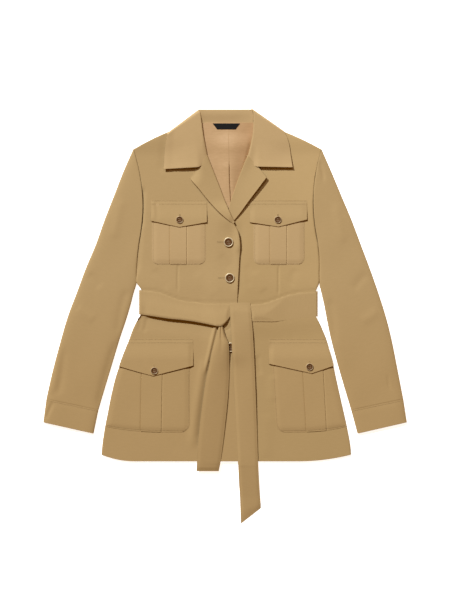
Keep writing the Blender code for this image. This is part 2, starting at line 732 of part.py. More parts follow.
def on_front(side, x, y, out):
    """The point of a front panel's outside at this plan position, moved out by the given distance.

    Near the side seam the panel rounds away, and the point goes with it.
    """
    inward = 1.0 if side == "left" else -1.0
    seam_x = body_side(side, y)
    distance = (x - seam_x) * inward
    top = float(front_height(side, x, y))
    if distance >= SIDE_FOLD:
        return (x, y, top + out)
    cosine = 1 - max(0.0, distance) / SIDE_FOLD
    sine = math.sqrt(1 - cosine**2)
    seam = FRONT_SEAM_HEIGHT + float(under_lift(y))
    z = seam + (top - seam) * sine
    normal = np.array([cosine / SIDE_FOLD, sine / (top - seam)])
    normal /= np.linalg.norm(normal)
    round_x = seam_x + inward * max(0.0, distance)
    return (round_x - inward * normal[0] * out, y, z + normal[1] * out)


def from_side(outer, inner, count):
    """Plan x from a folded side edge inwards, with a column where the side's fold ends."""
    inward = 1.0 if inner > outer else -1.0
    return [outer, *np.linspace(outer + inward * (SIDE_FOLD - SIDE_INSET), inner, count - 1)]


def pleat_columns(left, right, folds, outer=None):
    """Plan x of a pocket's columns, with a close pair at each fold, and whether each is on the pleat."""
    first, last = folds[0] - PLEAT_FOLD / 2, folds[1] + PLEAT_FOLD / 2
    before = from_side(left, first, 4) if outer == "left" else np.linspace(left, first, 4)
    after = from_side(right, last, 4)[::-1] if outer == "right" else np.linspace(last, right, 4)
    columns = [(float(x), 0.0) for x in before]
    columns += [(folds[0] + PLEAT_FOLD / 2, 1.0), (sum(folds) / 2, 1.0), (folds[1] - PLEAT_FOLD / 2, 1.0)]
    return columns + [(float(x), 0.0) for x in after]


def corner_rows(bottom, top, corner, count):
    """(height, how far a rounded bottom corner draws the edge in) from the bottom up."""
    rows = []
    for a in np.radians(CORNER_ANGLES):
        rows.append((bottom + corner * (1 - math.cos(a)), corner * (1 - math.sin(a))))
    return rows + [(float(y), 0.0) for y in np.linspace(bottom + corner, top, count)[1:]]


def make_chest_pocket(side):
    """A patch pocket with a box pleat on the chest, and its pointed flap."""
    sizes = CHEST_POCKETS[side]
    left, right = sizes["edges"]
    middle = sizes["middle"]
    folds = (middle - CHEST_POCKET["pleat_half"], middle + CHEST_POCKET["pleat_half"])
    grid = []
    for y, inset in corner_rows(CHEST_POCKET["bottom"], CHEST_POCKET["top"], CHEST_POCKET["corner"], 7):
        row = []
        for x, pleat in pleat_columns(left, right, folds):
            drawn = (x - middle) * (1 - inset / (right - left) * 2) + middle
            share = (x - left) / (right - left)
            puff = POCKET_PUFF * math.sin(math.pi * share) + PLEAT_LIFT * pleat
            row.append(on_front(side, x if pleat else drawn, y, SEAM + CLOTH + puff))
        grid.append(row)
    wall(f"chest_pocket_{side}", grid, CLOTH)
    inner, outer = sizes["flap"] if side == "right" else sizes["flap"][::-1]
    make_flap(f"chest_flap_{side}", side, inner, outer, middle, CHEST_FLAP)


def make_flap(name, side, inner, outer, point, sizes, to_side=False):
    """A flap sewn along its top edge, with a pointed lower edge over the pocket.

    The inner edge is the one towards the front edge. A flap that goes to the side widens downwards
    on the outer side of its point, along the side seam.
    """
    inward = 1.0 if side == "left" else -1.0
    outside = from_side(outer, point, 6) if to_side else list(np.linspace(outer, point, 6))
    columns = outside + list(np.linspace(point, inner, 6))[1:]
    if side == "right":
        columns = columns[::-1]
    ends = sorted(((outer, sizes["outer"]), (point, sizes["point"]), (inner, sizes["inner"])))
    over_pocket = SEAM + CLOTH + POCKET_PUFF + PLEAT_LIFT + FLAP_CLEAR
    grid = []
    for share in FLAP_SHARES:
        row = []
        for x in columns:
            low = np.interp(x, [end[0] for end in ends], [end[1] for end in ends])
            y = sizes["top"] + (low - sizes["top"]) * share
            if to_side and (point - x) * inward > 0:
                seam_x = body_side(side, y) + SIDE_INSET * inward
                x = point + (x - point) * (seam_x - point) / (outer - point)
            rise = float(ease((sizes["top"] - y) / FLAP_RAMP))
            row.append(on_front(side, x, y, SEAM + CLOTH + over_pocket * rise + FLAP_CURL * share**3))
        grid.append(row)
    wall(name, grid, CLOTH)


def make_hip_pocket(side):
    """A large patch pocket with a box pleat that reaches round to the side seam, and its flap."""
    sizes = HIP_POCKETS[side]
    inward = 1.0 if side == "left" else -1.0
    grid = []
    span = HIP_POCKET["top"] - HIP_POCKET["bottom"]
    for y, inset in corner_rows(HIP_POCKET["bottom"], HIP_POCKET["top"], HIP_POCKET["corner"], 8):
        down = (HIP_POCKET["top"] - y) / span
        inner = sizes["inner"][0] + (sizes["inner"][1] - sizes["inner"][0]) * down
        drawn = inner - inward * inset
        folds = [top + (bottom - top) * down for top, bottom in sizes["pleats"]]
        outer = body_side(side, y + HIP_POCKET["rise"] * down**3) + inward * SIDE_INSET
        left, right = (outer, drawn) if side == "left" else (drawn, outer)
        row = []
        for x, pleat in pleat_columns(left, right, folds, side):
            away = abs(x - inner) / abs(outer - inner)
            height = y + HIP_POCKET["rise"] * down**3 * away**3
            puff = POCKET_PUFF * math.sin(math.pi * min(1.0, away / HIP_POCKET["puff_share"]))
            row.append(on_front(side, x, height, SEAM + CLOTH + max(0.0, puff) + PLEAT_LIFT * pleat))
        grid.append(row)
    wall(f"hip_pocket_{side}", grid, CLOTH)
    outer = body_side(side, HIP_FLAP_TOP)
    flap = sizes["flap"]
    make_flap(f"hip_flap_{side}", side, sizes["flap_inner"], outer, sizes["flap_point"], flap, to_side=True)


def turned(name, profile, at, finish, closed=False):
    """A turned piece: the profile (radius, height) runs from its top down its outer side."""
    mesh = bpy.data.meshes.new(name)
    points = [(r * MM, 0.0, z * MM) for r, z in profile]
    edges = [(i, i + 1) for i in range(len(points) - 1)]
    if closed:
        edges.append((len(points) - 1, 0))
    mesh.from_pydata(points, edges, [])
    piece = place(name, mesh, finish)
    piece.location = [c * MM for c in at]
    screw = piece.modifiers.new("turn", "SCREW")
    screw.steps = screw.render_steps = BUTTON_SIDES
    screw.use_merge_vertices = True
    screw.merge_threshold = 1e-5
    return piece


def make_button(name, at, base, size):
    """A dished disc set in a metal rim."""
    radius, height, width = size
    inside = radius - width
    disc = inside - SEAM
    dish = [(r * disc, z * height) for r, z in BUTTON_DISH]
    turned(f"button_{name}", dish, (*at, base), "horn")
    rim = [(inside + r * width, z * height) for r, z in BUTTON_RIM]
    turned(f"button_rim_{name}", rim, (*at, base), "brass", closed=True)


def make_buttons():
    """Three buttons down the front and one on each flap."""
    for number, at in enumerate(FRONT_BUTTONS, 1):
        make_button(f"front_{number}", at, float(front_height("left", *at)) + BUTTON_REST, FRONT_BUTTON)
    flap_top = SEAM + CLOTH + SEAM + CLOTH + POCKET_PUFF + PLEAT_LIFT
    for name, at in FLAP_BUTTONS.items():
        side = name.split("_")[1]
        base = float(front_height(side, *at)) + flap_top + FLAP_CURL + SEAM + FLAP_CLEAR
        make_button(name, at, base, FLAP_BUTTON)


def make_belt_front(side, edges):
    """Half of the belt: from the knot across the front, round the side and a little way under."""
    shares = np.linspace(0, 1, 5)
    grid = []
    for x in np.linspace(edges["x"][-1], edges["x"][0], 14):
        low, high, lift = (float(through(edges, "x", name, x)) for name in ("low", "high", "lift"))
        row = []
        for share in shares:
            y = low + (high - low) * share
            z = float(front_height(side, x, y)) + BELT_REST + BELT_THICK + lift * (1 - share) ** EDGE_CURL
            row.append((x, y, z))
        grid.append(row)
    edge_x = BELT_SIDE[side]
    low, high = edges["low"][0], edges["high"][0]
    top = FRONT_TOP + UNDER_LIFT + BELT_REST + BELT_THICK
    reach = abs(edge_x - edges["x"][0])
    inward = 1.0 if side == "left" else -1.0
    for angle in np.radians(BELT_SIDE_ANGLES):
        x = edge_x + inward * reach * (1 - math.cos(angle))
        z = top / 2 * (1 + math.sin(angle))
        grid.append([(x, low + (high - low) * share, z) for share in shares])
    end = BELT_BACK[0] - SEAM if side == "left" else BELT_BACK[1] + SEAM
    grid.append([(end, BELT_LOW + (BELT_HIGH - BELT_LOW) * share, 0.0) for share in shares])
    rows = [row[::-1] for row in grid] if side == "right" else grid
    return wall(f"belt_{side}", rows, BELT_THICK)


def make_belt_back():
    """The belt where it lies under the back of the waist."""
    grid = []
    for x in np.linspace(*BELT_BACK, 8):
        grid.append([(x, BELT_LOW + (BELT_HIGH - BELT_LOW) * s, 0.0) for s in (1, 0.5, 0)])
    return wall("belt_back", grid[::-1], BELT_THICK)


def make_tail(name, sections, tip=None):
    """A hanging belt end: sections along its length, arched where the cloth is gathered."""
    grid = []
    last = len(sections["y"]) - 1
    for i in range(last + 1):
        row = []
        for share in np.linspace(0, 1, 7):
            x = sections["left"][i] + (sections["right"][i] - sections["left"][i]) * share
            y = sections["y"][i]
            if tip is not None and i == last:
                y = tip + (y - tip) * share
            left, right = sections["under_left"][i], sections["under_right"][i]
            under = left + (right - left) * share
            row.append((x, y, under + BELT_THICK + sections["arch"][i] * (1 - (2 * share - 1) ** 2)))
        grid.append(row[::-1])
    return wall(name, grid, BELT_THICK)


def clear_scene():
    """Empty the scene and start the jacket's collection."""
    for thing in list(bpy.data.objects):
        bpy.data.objects.remove(thing)
    made = bpy.data.collections.new("belted_jacket")
    bpy.context.scene.collection.children.link(made)


def body_rows():
    """Where the rows of back and fronts meet the side edge, from hem to shoulder."""
    top = SLEEVE["outer_y"][0] - REST
    skirt = np.linspace(BODY_SIDE["y"][0], -24, 8)
    waist = (-11, 0.5, 28, 57, 66, 75, 100, 128)
    chest = np.linspace(152, 336, 10)
    return [*skirt, *waist, *chest, *(top - d for d in (SHOULDER_FOLD, 1.6, 0.6, 0.0))]


def main():
    """Make every piece of the jacket."""
    clear_scene()
    rows = body_rows()
    make_front("left", FRONT_LEFT_EDGE, rows)
    make_front("right", FRONT_RIGHT_EDGE, rows)
    make_back(rows)
    for side in ("left", "right"):
        make_sleeve(side)
        make_chest_pocket(side)
        make_hip_pocket(side)
    make_lapel("left", LAPEL_LEFT)
    make_lapel("right", LAPEL_RIGHT)
    make_collar()
    make_neck()
    make_buttons()
    make_belt_front("left", BELT_LEFT)
    make_belt_front("right", BELT_RIGHT)
    make_belt_back()
    make_tail("belt_tail_long", LONG_TAIL, TAIL_TIP)
    make_tail("belt_tail_short", SHORT_TAIL)


main()
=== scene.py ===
"""How a belted safari jacket looks, laid flat on its back on a pale floor.

Sizes in the tables are millimetres in the frame's own axes: +Y from hem to collar, +X to the viewer's
right, +Z up from the floor. Left and right are the viewer's.
"""

import logging
import math
from dataclasses import dataclass, field
from enum import Enum

import bpy
import numpy as np
from bpy.types import Light, Material, Mesh, Node, NodeSocket, NodeTree, Object, World
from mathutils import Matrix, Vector


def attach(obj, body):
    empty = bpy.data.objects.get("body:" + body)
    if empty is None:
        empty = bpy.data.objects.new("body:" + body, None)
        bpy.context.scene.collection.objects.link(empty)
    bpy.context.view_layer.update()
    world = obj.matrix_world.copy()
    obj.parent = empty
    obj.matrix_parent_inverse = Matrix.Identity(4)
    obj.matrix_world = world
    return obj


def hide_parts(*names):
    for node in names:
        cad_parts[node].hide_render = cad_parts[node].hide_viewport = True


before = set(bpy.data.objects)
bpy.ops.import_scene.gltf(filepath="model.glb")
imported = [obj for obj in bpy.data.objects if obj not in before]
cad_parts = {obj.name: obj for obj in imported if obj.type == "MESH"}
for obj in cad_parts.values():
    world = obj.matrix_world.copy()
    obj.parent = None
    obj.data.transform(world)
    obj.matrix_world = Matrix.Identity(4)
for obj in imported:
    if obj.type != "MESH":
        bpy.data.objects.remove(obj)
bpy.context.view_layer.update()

LOG = logging.getLogger("belted_jacket")
MM = 0.001
TINY = 1e-9
# What one unit of the wave texture goes round
WAVE_RADIANS = 20.0
Array = np.ndarray
Places = Array | float
Pair = tuple[float, float]


class Side(Enum):
    """One half of the jacket, as the viewer sees it."""

    LEFT = "left"
    RIGHT = "right"

    @property
    def inward(self) -> float:
        """Direction along X from this side's edge to the middle of the front."""
        return 1.0 if self is Side.LEFT else -1.0

    @property
    def number(self) -> int:
        """Place of this side in a pair that starts on the left."""
        return 0 if self is Side.LEFT else 1


class Slot(Enum):
    """The record's material slots."""

    CLOTH = "cloth"
    LINING = "lining"
    LABEL = "label"
    HORN = "horn"
    BRASS = "brass"


def ease(share: Places) -> Array:
    """Step softly from 0 to 1 as the share goes from 0 to 1."""
    t = np.clip(share, 0.0, 1.0)
    return t * t * (3.0 - 2.0 * t)


def blend(start: Places, end: Places, share: Places) -> Places:
    """Go from one value to another by a share."""
    return start + (end - start) * share


def arch(share: Places) -> Places:
    """Rise from 0 to 1 half-way along, and fall to 0 again."""
    return 4 * share * (1 - share)


def hump(place: Places, middle: Places, width: float) -> Array:
    """Rise softly to 1 at the middle, and fall off over the width on both sides."""
    return np.exp(-(((place - middle) / width) ** 2))


def rounded(share: Places) -> Array:
    """Rise fast at first, and level out at 1."""
    return 1 - (1 - np.minimum(1.0, share)) ** 2


def quarter(share: Places) -> Array:
    """Rise along a quarter of a circle, and stay at 1."""
    return np.sqrt(1 - np.maximum(0.0, 1 - share) ** 2)


def unit(vectors: Array) -> Array:
    """Bring vectors to a length of 1."""
    return vectors / np.maximum(np.linalg.norm(vectors, axis=-1, keepdims=True), TINY)


def points(x: Places, y: Places, z: Places) -> Array:
    """Join positions to points, with a single number used for all of them."""
    return np.stack(np.broadcast_arrays(x, y, z), axis=-1)


@dataclass(frozen=True)
class Step:
    """A soft step from 0 at its start to 1 at its end, which may lie lower than the start."""

    start: float
    end: float

    def __call__(self, place: Places) -> Array:
        """Give the step's height at a place."""
        return ease((place - self.start) / (self.end - self.start))


class Table:
    """A short table of sizes, read along smooth curves through its rows."""

    def __init__(self, names: str, *rows: tuple[float, ...]) -> None:
        """Name the columns.

        Args:
            names: The column names, separated by spaces, with the one to look up first.
            rows: One tuple of sizes for each row.
        """
        self.key = names.split()[0]
        self.columns = dict(zip(names.split(), np.array(rows, float).T))
        self.columns["row"] = np.arange(len(rows), dtype=float)
        self.last = len(rows) - 1

    def __getitem__(self, name: str) -> Array:
        """Give one column as it stands in the table."""
        return self.columns[name]

    def at(self, name: str, value: Places, key: str = "") -> Array:
        """Read a column between the rows.

        Args:
            name: The column that is read.
            value: Where on the key column, clipped to its ends.
            key: The column that is looked up, if not the first.

        Returns:
            The column's value on a smooth curve through the rows.
        """
        keys, values = self.columns[key or self.key], self.columns[name]
        if keys[0] > keys[-1]:
            keys, values = keys[::-1], values[::-1]
        slopes = np.gradient(values, keys)
        value = np.clip(value, keys[0], keys[-1])
        i = np.clip(np.searchsorted(keys, value) - 1, 0, len(keys) - 2)
        step = keys[i + 1] - keys[i]
        t = (value - keys[i]) / step
        start = values[i] * (1 + 2 * t) * (1 - t) ** 2 + slopes[i] * step * t * (1 - t) ** 2
        end = values[i + 1] * t**2 * (3 - 2 * t) + slopes[i + 1] * step * t**2 * (t - 1)
        return start + end

    def row(self, number: float) -> dict[str, float]:
        """Read every column at a row number that may lie between two rows."""
        return {name: float(self.at(name, number, "row")) for name in self.columns}


@dataclass(frozen=True)
class Crease:
    """A soft trough or ridge along a line that may bow to one side.

    The depth is above zero for a ridge. The bow is the line's offset in its middle. The ends fade over
    the share of the line in which its arch reaches 1 / fade.
    """

    from_x: float
    from_y: float
    to_x: float
    to_y: float
    width: float
    depth: float
    bow: float = 0.0
    fade: float = 1.6

    def height(self, x: Array, y: Array) -> Array:
        """Give what the crease adds to the cloth's height.

        Args:
            x: Plan positions across.
            y: Plan positions along.

        Returns:
            Heights at these places.
        """
        dx, dy = self.to_x - self.from_x, self.to_y - self.from_y
        length = math.hypot(dx, dy)
        along = ((x - self.from_x) * dx + (y - self.from_y) * dy) / length**2
        middle = np.clip(arch(along), 0.0, 1.0)
        across = ((y - self.from_y) * dx - (x - self.from_x) * dy) / length
        return self.depth * ease(middle * self.fade) * hump(across, self.bow * middle, self.width)


@dataclass(frozen=True)
class Mound:
    """A round swelling of the cloth."""

    x: float
    y: float
    radius: float
    lift: float

    def height(self, x: Array, y: Array) -> Array:
        """Give what the mound adds to the cloth's height."""
        return self.lift * hump(x, self.x, self.radius) * hump(y, self.y, self.radius)


@dataclass(frozen=True)
class Slack:
    """Slow uneven waves in cloth that isn't pulled tight, with lengths for one radian."""

    depth: float
    across: float
    sway: float
    sway_along: float
    along: float
    start: float
    drift: float = math.inf

    def height(self, x: Array, y: Array) -> Array:
        """Give what the waves add to the cloth's height."""
        wave = np.sin(x / self.across + self.sway * np.sin(y / self.sway_along))
        return self.depth * wave * np.sin(y / self.along + self.start + x / self.drift)


def creases(*rows: tuple[float, ...]) -> tuple[Crease, ...]:
    """List creases from rows of from_x, from_y, to_x, to_y, width, depth and bow."""
    return tuple(Crease(*row) for row in rows)


# Thickness of each cloth, the gap at a seam, and the air under a layer that lies on another
CLOTH = 1.5
DOUBLE = 2.0
LINING = 1.0
LABEL_TAPE = 0.6
SEAM = 0.3
REST = 0.5
CENTRE = 4.0

# The body's side edges from the hem to the armpit
BODY_SIDE = Table(
    "y left right",
    *((-289.5, -259.4, 264.6), (-276, -258.3, 263.6), (-238, -253.1, 257.2), (-200, -245.7, 248.9)),
    *((-163, -238.4, 240.5), (-125, -228.9, 232.1), (-100, -220.5, 226.8), (-75, -212.1, 220.5)),
    *((-49, -201.6, 213.2), (-24, -192.2, 203), (-9, -184.5, 196.2), (0.5, -177.2, 190.4)),
    *((28, -175.2, 189.8), (50, -174, 189.8), (58, -176.5, 192.5), (70, -185.6, 197.9)),
    *((90, -185.4, 198.2), (115, -184.4, 198.4), (150, -181.6, 196.2)),
)
HEM = -303.4
# The fronts' inner edges, by where the same row meets the side edge
FRONT_EDGE = {
    Side.LEFT: Table(
        "side_y x y",
        *((-289.5, 29, HEM), (-276, 29, -288), (-238, 28.5, -243), (-200, 28, -202), (-125, 27, -125)),
        *((-49, 26, -49), (28, 25.5, 28), (70, 27, 70), (115, 29.5, 115), (150, 31, 155), (166, 28, 175)),
        *((182, 19, 193), (200, 9.5, 209), (222, -0.5, 231), (250, -12, 262), (275, -23.5, 293)),
        *((300, -33.5, 319), (320, -41.5, 341), (335, -46.5, 366), (343, -49.5, 390), (351, -53, 408)),
    ),
    Side.RIGHT: Table(
        "side_y x y",
        *((-289.5, -9, HEM), (-276, -9, -288), (-238, -9, -243), (-200, -9, -202), (-49, -9, -49)),
        *((115, -9, 115), (150, -9, 155), (166, -9, 175), (182, -8, 193), (200, 2, 210), (222, 11.5, 230)),
        *((250, 23.5, 262), (275, 35, 293), (300, 45, 319), (320, 54.5, 341), (335, 60, 366)),
        *((343, 62.5, 390), (351, 63.5, 408)),
    ),
}
# The sleeves' sections from the armhole to the cuff seam, and the cuffs' ends
SLEEVE = Table(
    "outer_y inner_y left_outer left_inner right_outer right_inner bow",
    *((351.5, 150, -192.5, -182.5, 202.5, 197, 14), (303, 115, -213.8, -184.3, 223.6, 198.3, 6)),
    *((253, 90, -233.2, -185.3, 244.4, 198.1, 2), (203, 70, -252.8, -185.6, 265.4, 197.9, 0)),
    *((152, 48, -270.9, -192, 284.6, 202.5, 0), (102, 22, -291.9, -198.7, 303.4, 208.5, 0)),
    *((51, -8, -310.8, -207.7, 321.3, 214, 0), (1, -46, -329.7, -220.5, 337.1, 222, 0)),
    *((-49, -90, -344.4, -233.8, 349.7, 233.4, 0), (-112, -143, -361.2, -249.7, 362.2, 248.6, 0)),
    *((-150, -175, -370, -259.3, 369.5, 258.2, 0), (-173, -196, -375, -265.5, 374, 264.5, 0)),
)
CUFF_END = {
    "outer_y": -221.5,
    "inner_y": -245.2,
    "left_outer": -381.5,
    "left_inner": -275.8,
    "right_outer": 381.5,
    "right_inner": 277.8,
    "bow": 0.0,
}
# How far the front and the sleeve are pressed down along the armhole seam
ARMHOLE = {
    Side.LEFT: Table(
        "y front sleeve",
        *((110, 1.5, 0.3), (145, 1.4, 0.4), (180, 1.1, 0.5), (211, 1.8, 0.2), (228, 3.3, 0.1)),
        *((245, 2.8, 0.2), (261, 1.6, 0.4), (290, 0.8, 0.9), (318, 0.4, 1.1), (332, 0.1, 1.3)),
    ),
    Side.RIGHT: Table(
        "y front sleeve",
        *((110, 3.2, 1.8), (150, 3.6, 1.8), (180, 3.4, 1.8), (211, 2.4, 1.5), (240, 2.2, 1.4)),
        *((261, 0.9, 1.3), (285, 0.5, 1.3), (318, 0.2, 1.3), (332, 0.1, 1.3)),
    ),
}
# The cloth is pressed thin at the top of the armhole seam
SEAM_THIN = 0.4
SEAM_THINS = Step(296, 322)
# The lapels' rows from the gorge down to the break
LAPEL = {
    Side.LEFT: Table(
        "inner_x inner_y outer_x outer_y lift",
        *((-36.8, 338.5, -74, 290.5, 2.5), (-30, 321, -67.5, 283, 2.5)),
        *((-21, 298, -54, 267.5, 2.5), (-10, 270, -34, 242.5, 2.4)),
        *((2, 238.5, -11.6, 218.4, 1.6), (11.2, 217, 6, 203, 0.2), (20.5, 198, 17, 194, 0)),
    ),
    Side.RIGHT: Table(
        "inner_x inner_y outer_x outer_y lift",
        *((48.3, 338.5, 87.2, 291.9, 5), (42, 326, 81.5, 284.5, 5), (33, 303, 66, 264, 4.5)),
        *((22.5, 274, 48, 240, 3.2), (13.2, 246, 31, 216.5, 1.6), (7.4, 224, 15, 197, 0)),
    ),
}
# The collar's rows from the left notch round the neck to the right one, with the turn in degrees
COLLAR_TOP = 434.7
COLLAR = Table(
    "inner_x inner_y outer_x outer_y turn mid half lift notch",
    *((-37.2, 339.5, -128.5, 309.1, 0, 5.1, 3.9, 3.6, 1), (-38.4, 346, -127.8, 322, 0, 5.5, 3.6, 2, 0.5)),
    *((-41.5, 362, -126, 346, 0, 6.9, 2.7, 0.5, 0), (-46, 388, -123.5, 364.5, 0, 7.9, 2.3, 0, 0)),
    *((-50.5, 424, -121, 379.5, 0, 6.8, 3.4, 0, 0), (-52.4, 431, -120.6, 382, 40, 5.2, 4.8, 0, 0)),
    *((-53, 433.5, -120.2, 383, 90, 5, 4.8, 0, 0), (-51, 434.5, -117, 381.5, 140, 4.7, 4.7, 0, 0)),
    (-46, COLLAR_TOP, -108, 380, 180, 4.2, 4.2, 0, 0),
    (-22, COLLAR_TOP, -52, 378.5, 180, 3.6, 3.6, 0, 0),
    *((3.5, COLLAR_TOP, 3.5, 378, 180, 3.6, 3.6, 0, 0), (29, COLLAR_TOP, 60, 378.5, 180, 3.6, 3.6, 0, 0)),
    (50.5, COLLAR_TOP, 112, 380.5, 180, 4.2, 4.2, 0, 0),
    *((54.5, 434.5, 120.5, 384.5, 140, 4.7, 4.7, 0, 0), (56.8, 433.5, 123.5, 386.5, 90, 5, 4.8, 0, 0)),
    *((57.8, 431, 125, 385, 40, 5.2, 4.8, 0, 0), (59.3, 424, 127.4, 381.5, 0, 6.8, 3.4, 0, 0)),
    *((58.5, 388, 133.4, 366, 0, 7.9, 2.3, 0, 0), (54, 362, 136.8, 346, 0, 7.2, 2.3, 0.5, 0)),
    *((50, 346, 139.8, 325, 0, 5.9, 2.4, 2.6, 0.5), (48.6, 339.5, 141.6, 312.9, 0, 5.35, 2.25, 4.8, 1)),
)
# Its rows beside the stand, from the lining up
ROLL_LEFT = slice(3, 7)
ROLL_RIGHT = slice(17, 13, -1)
# Where the lining's edges go under the fronts
NECK_LINING = Table(
    "y left right",
    *((405.4, -51.5, 62), (380, -50.5, 61.5), (345, -45, 54.5), (315, -36, 44), (285, -23, 33)),
    *((255, -12, 22), (228, -2, 12)),
)
# The belt's edges from the side to the knot
BELT = {
    Side.LEFT: Table(
        "x low high lift",
        *((-177, 4.5, 55.7, 0), (-168, 3.2, 55, 0.1), (-160, 2, 54.3, 1.9), (-140, -1, 51.9, 3.2)),
        *((-113, -4.8, 41.5, 3.7), (-94, -6.6, 35, 3.6), (-69, -9.8, 31.5, 3.5), (-40, -15.2, 28.6, 3.4)),
        *((-23.5, -18.5, 28.5, 3.4), (-6, -19.3, 28.5, 3), (9, -5.5, 28.5, 1), (13, 1, 28.5, 0.2)),
    ),
    Side.RIGHT: Table(
        "x low high lift",
        *((191, 0.2, 53.1, 0), (178, -1.1, 52.5, 0), (151, -3.5, 49.4, 0), (124, -8, 43.1, 0)),
        *((105, -10.5, 36, 0), (82, -10.5, 28.5, 0), (60, -10.5, 26.5, 0), (40, -10.5, 21, 0)),
    ),
}
# The belt's ends from the knot down, with what lies under each edge
LONG_TAIL = Table(
    "y left right under_left under_right arch groove",
    *((28.9, 10.5, 53, 8.5, 6.3, 0, 0), (28, 10.3, 53.1, 8.7, 6.5, 0, 0)),
    *((24, 10, 53.4, 9.2, 6.5, 0, 0), (14, 10.3, 54.2, 9.8, 6.8, 0, 0)),
    *((0, 11.2, 55.4, 10.2, 7.8, 0.2, 0), (-14, 11.9, 56.5, 10.6, 8.6, 0.3, 0)),
    *((-34, 13, 58.2, 11.6, 8.4, 0.4, 0), (-66, 14.7, 60.2, 12.3, 8, 0.4, 0)),
    *((-84, 15.7, 61, 11.8, 8, 0.4, 0), (-112, 17.1, 62.2, 8.4, 7.9, 0.5, 0)),
    *((-165, 19.9, 64.5, 7.6, 7.5, 0.6, 0), (-235, 23.6, 67, 7.6, 6.2, 0.5, 0)),
    *((-303, 27.2, 69.3, 7.5, 5.9, 0.4, 0), (-318, 28, 69.9, 6.6, 5.4, 0.4, 0)),
    *((-340, 29.1, 71, 5, 4.2, 0.3, 0), (-352, 29.7, 71.6, 4.1, 3.5, 0.3, 0)),
    *((-380, 31.6, 73.6, 2, 1.8, 0.2, 0), (-402, 33.4, 75.4, 0.5, 0.5, 0, 0)),
)
LONG_TAIL_TIP = -434.7
# The short end is gathered at the knot, so its flat cut in metres is wider than it looks
SHORT_TAIL_CUT = (0.051, 0.306)
SHORT_TAIL = Table(
    "y left right under_left under_right arch groove",
    *((-21, -13, -4.4, 6.9, 7.6, 2.6, 2), (-30, -15.6, -1.8, 6.9, 7.8, 3.6, 2.4)),
    *((-42, -18.4, 1.6, 6.9, 9.6, 3.8, 2.2), (-54, -22, 6.6, 7, 12.4, 3.2, 1.6)),
    *((-66, -25.4, 8.4, 7.2, 12.4, 2.6, 0.8), (-84, -29.8, 8.8, 7.2, 10.6, 2.2, 0.2)),
    *((-108, -34, 9.1, 7.2, 8.2, 2, 0), (-133, -39.9, 8.2, 7, 8.2, 1.4, 0)),
    *((-175, -46.2, 5.6, 6.8, 8.2, 0.9, 0), (-217, -51.5, 1.4, 6.6, 8.2, 0.8, 0)),
    *((-270, -56.7, -4.6, 6.2, 8, 0.6, 0), (-304, -58.6, -9.4, 5.6, 7.2, 0.5, 0)),
    *((-312, -59.1, -10.9, 5.5, 6.5, 0.4, 0), (-324.4, -59.9, -13.2, 5.3, 5.6, 0.3, 0)),
)

# Creases placed one by one, with the waist dart first on each front
FRONT_CREASES = {
    Side.LEFT: creases(
        *((-99, 112, -99.5, 50, 1.5, -1.3), (-163, 1, -170, -34, 5, -0.8), (-176, 2, -180, -30, 4, -0.6)),
        *((-8, 4, -38.4, -125, 1.7, -2, -1), (-13.5, 4, -43.5, -125, 3.2, 2.4, -1)),
        *((-29, -80, -56, -290, 6, -2.4, -3), (-42, -80, -72, -285, 8, 1.5, -3)),
        *((-60, 95, -20, 40, 10, 0.5, -4), (-150, 100, -120, 56, 9, -0.6, 4)),
        *((-60, -250, -40, -302, 12, 0.6), (-10, 130, 12, 100, 9, -0.5), (20.5, 188, 24, 168, 1.2, -0.7)),
        *((29, 204, 26, 34, 9, 1.5), (24, 240, 31, 130, 8, 3), (-172, 274, -176, 184, 5.5, -2.4)),
        *((-175, 205, -184, 85, 5, -1.2), (-3, -26, 15, 0, 5, -3), (-124, 388, -131, 300, 10, -1.1)),
    ),
    Side.RIGHT: creases(
        *((112.5, 110, 112, 42, 1.5, -1.3), (69, -80, 75, -122, 5, -1, -2), (98, -122, 101, -180, 9, 0.7)),
        *((60, 95, 80, 50, 10, 0.6, 4), (150, 100, 140, 62, 9, -0.6, -4), (90, -200, 85, -300, 14, 0.6)),
        *((45, 110, 52, 60, 9, -0.5), (30, 204, 27, 34, 12, -1.3)),
    ),
}
SLEEVE_CREASES = {
    Side.LEFT: creases(
        *((-350, -60, -366, -165, 9, 0.9, 4), (-338, -62, -352, -168, 8, -1.1, 3)),
        *((-226, -48, -268, -200, 9, -1.8, -2), (-205, 60, -226, -40, 8, -1, -4)),
        *((-216, 250, -236, 160, 10, 0.8), (-286, 90, -262, 60, 8, -0.8, 3)),
        *((-310, 20, -272, -6, 9, 0.8, -4), (-360, -178, -378, -218, 4, -1.2)),
    ),
    Side.RIGHT: creases(
        *((197, 328, 207, 284, 3.5, -1.5, 2), (338, -121, 349, -157, 1.3, -1.2)),
        *((218, 40, 226, -60, 8, -1, 4), (232, 240, 248, 150, 10, 0.8)),
        *((300, 90, 270, 56, 8, -0.8, -3), (322, 16, 284, -10, 9, 0.8, 4)),
    ),
}
# The bust on each front, and the cloth pushed up where the lapels cross
FRONT_MOUNDS = {
    Side.LEFT: (Mound(CENTRE - 100, 180, 110, 0.9), Mound(13, 210, 26, 3.4)),
    Side.RIGHT: (Mound(CENTRE + 104, 180, 110, 0.9),),
}
FRONT_SLACK = Slack(0.28, 23.0, 1.7, 61.0, 47.0, 0.9, 120.0)
SLEEVE_SLACK = Slack(0.35, 19.0, 1.3, 43.0, 37.0, 0.4)
# The step of a front as it comes out from under the belt, by the distance below the belt's edge, and
# how far it then sinks before it rises again
OUT_OF_BELT = {Side.LEFT: Step(-4, 4), Side.RIGHT: Step(1, 41)}
HOLLOW = {Side.LEFT: 1.2, Side.RIGHT: 0.0}


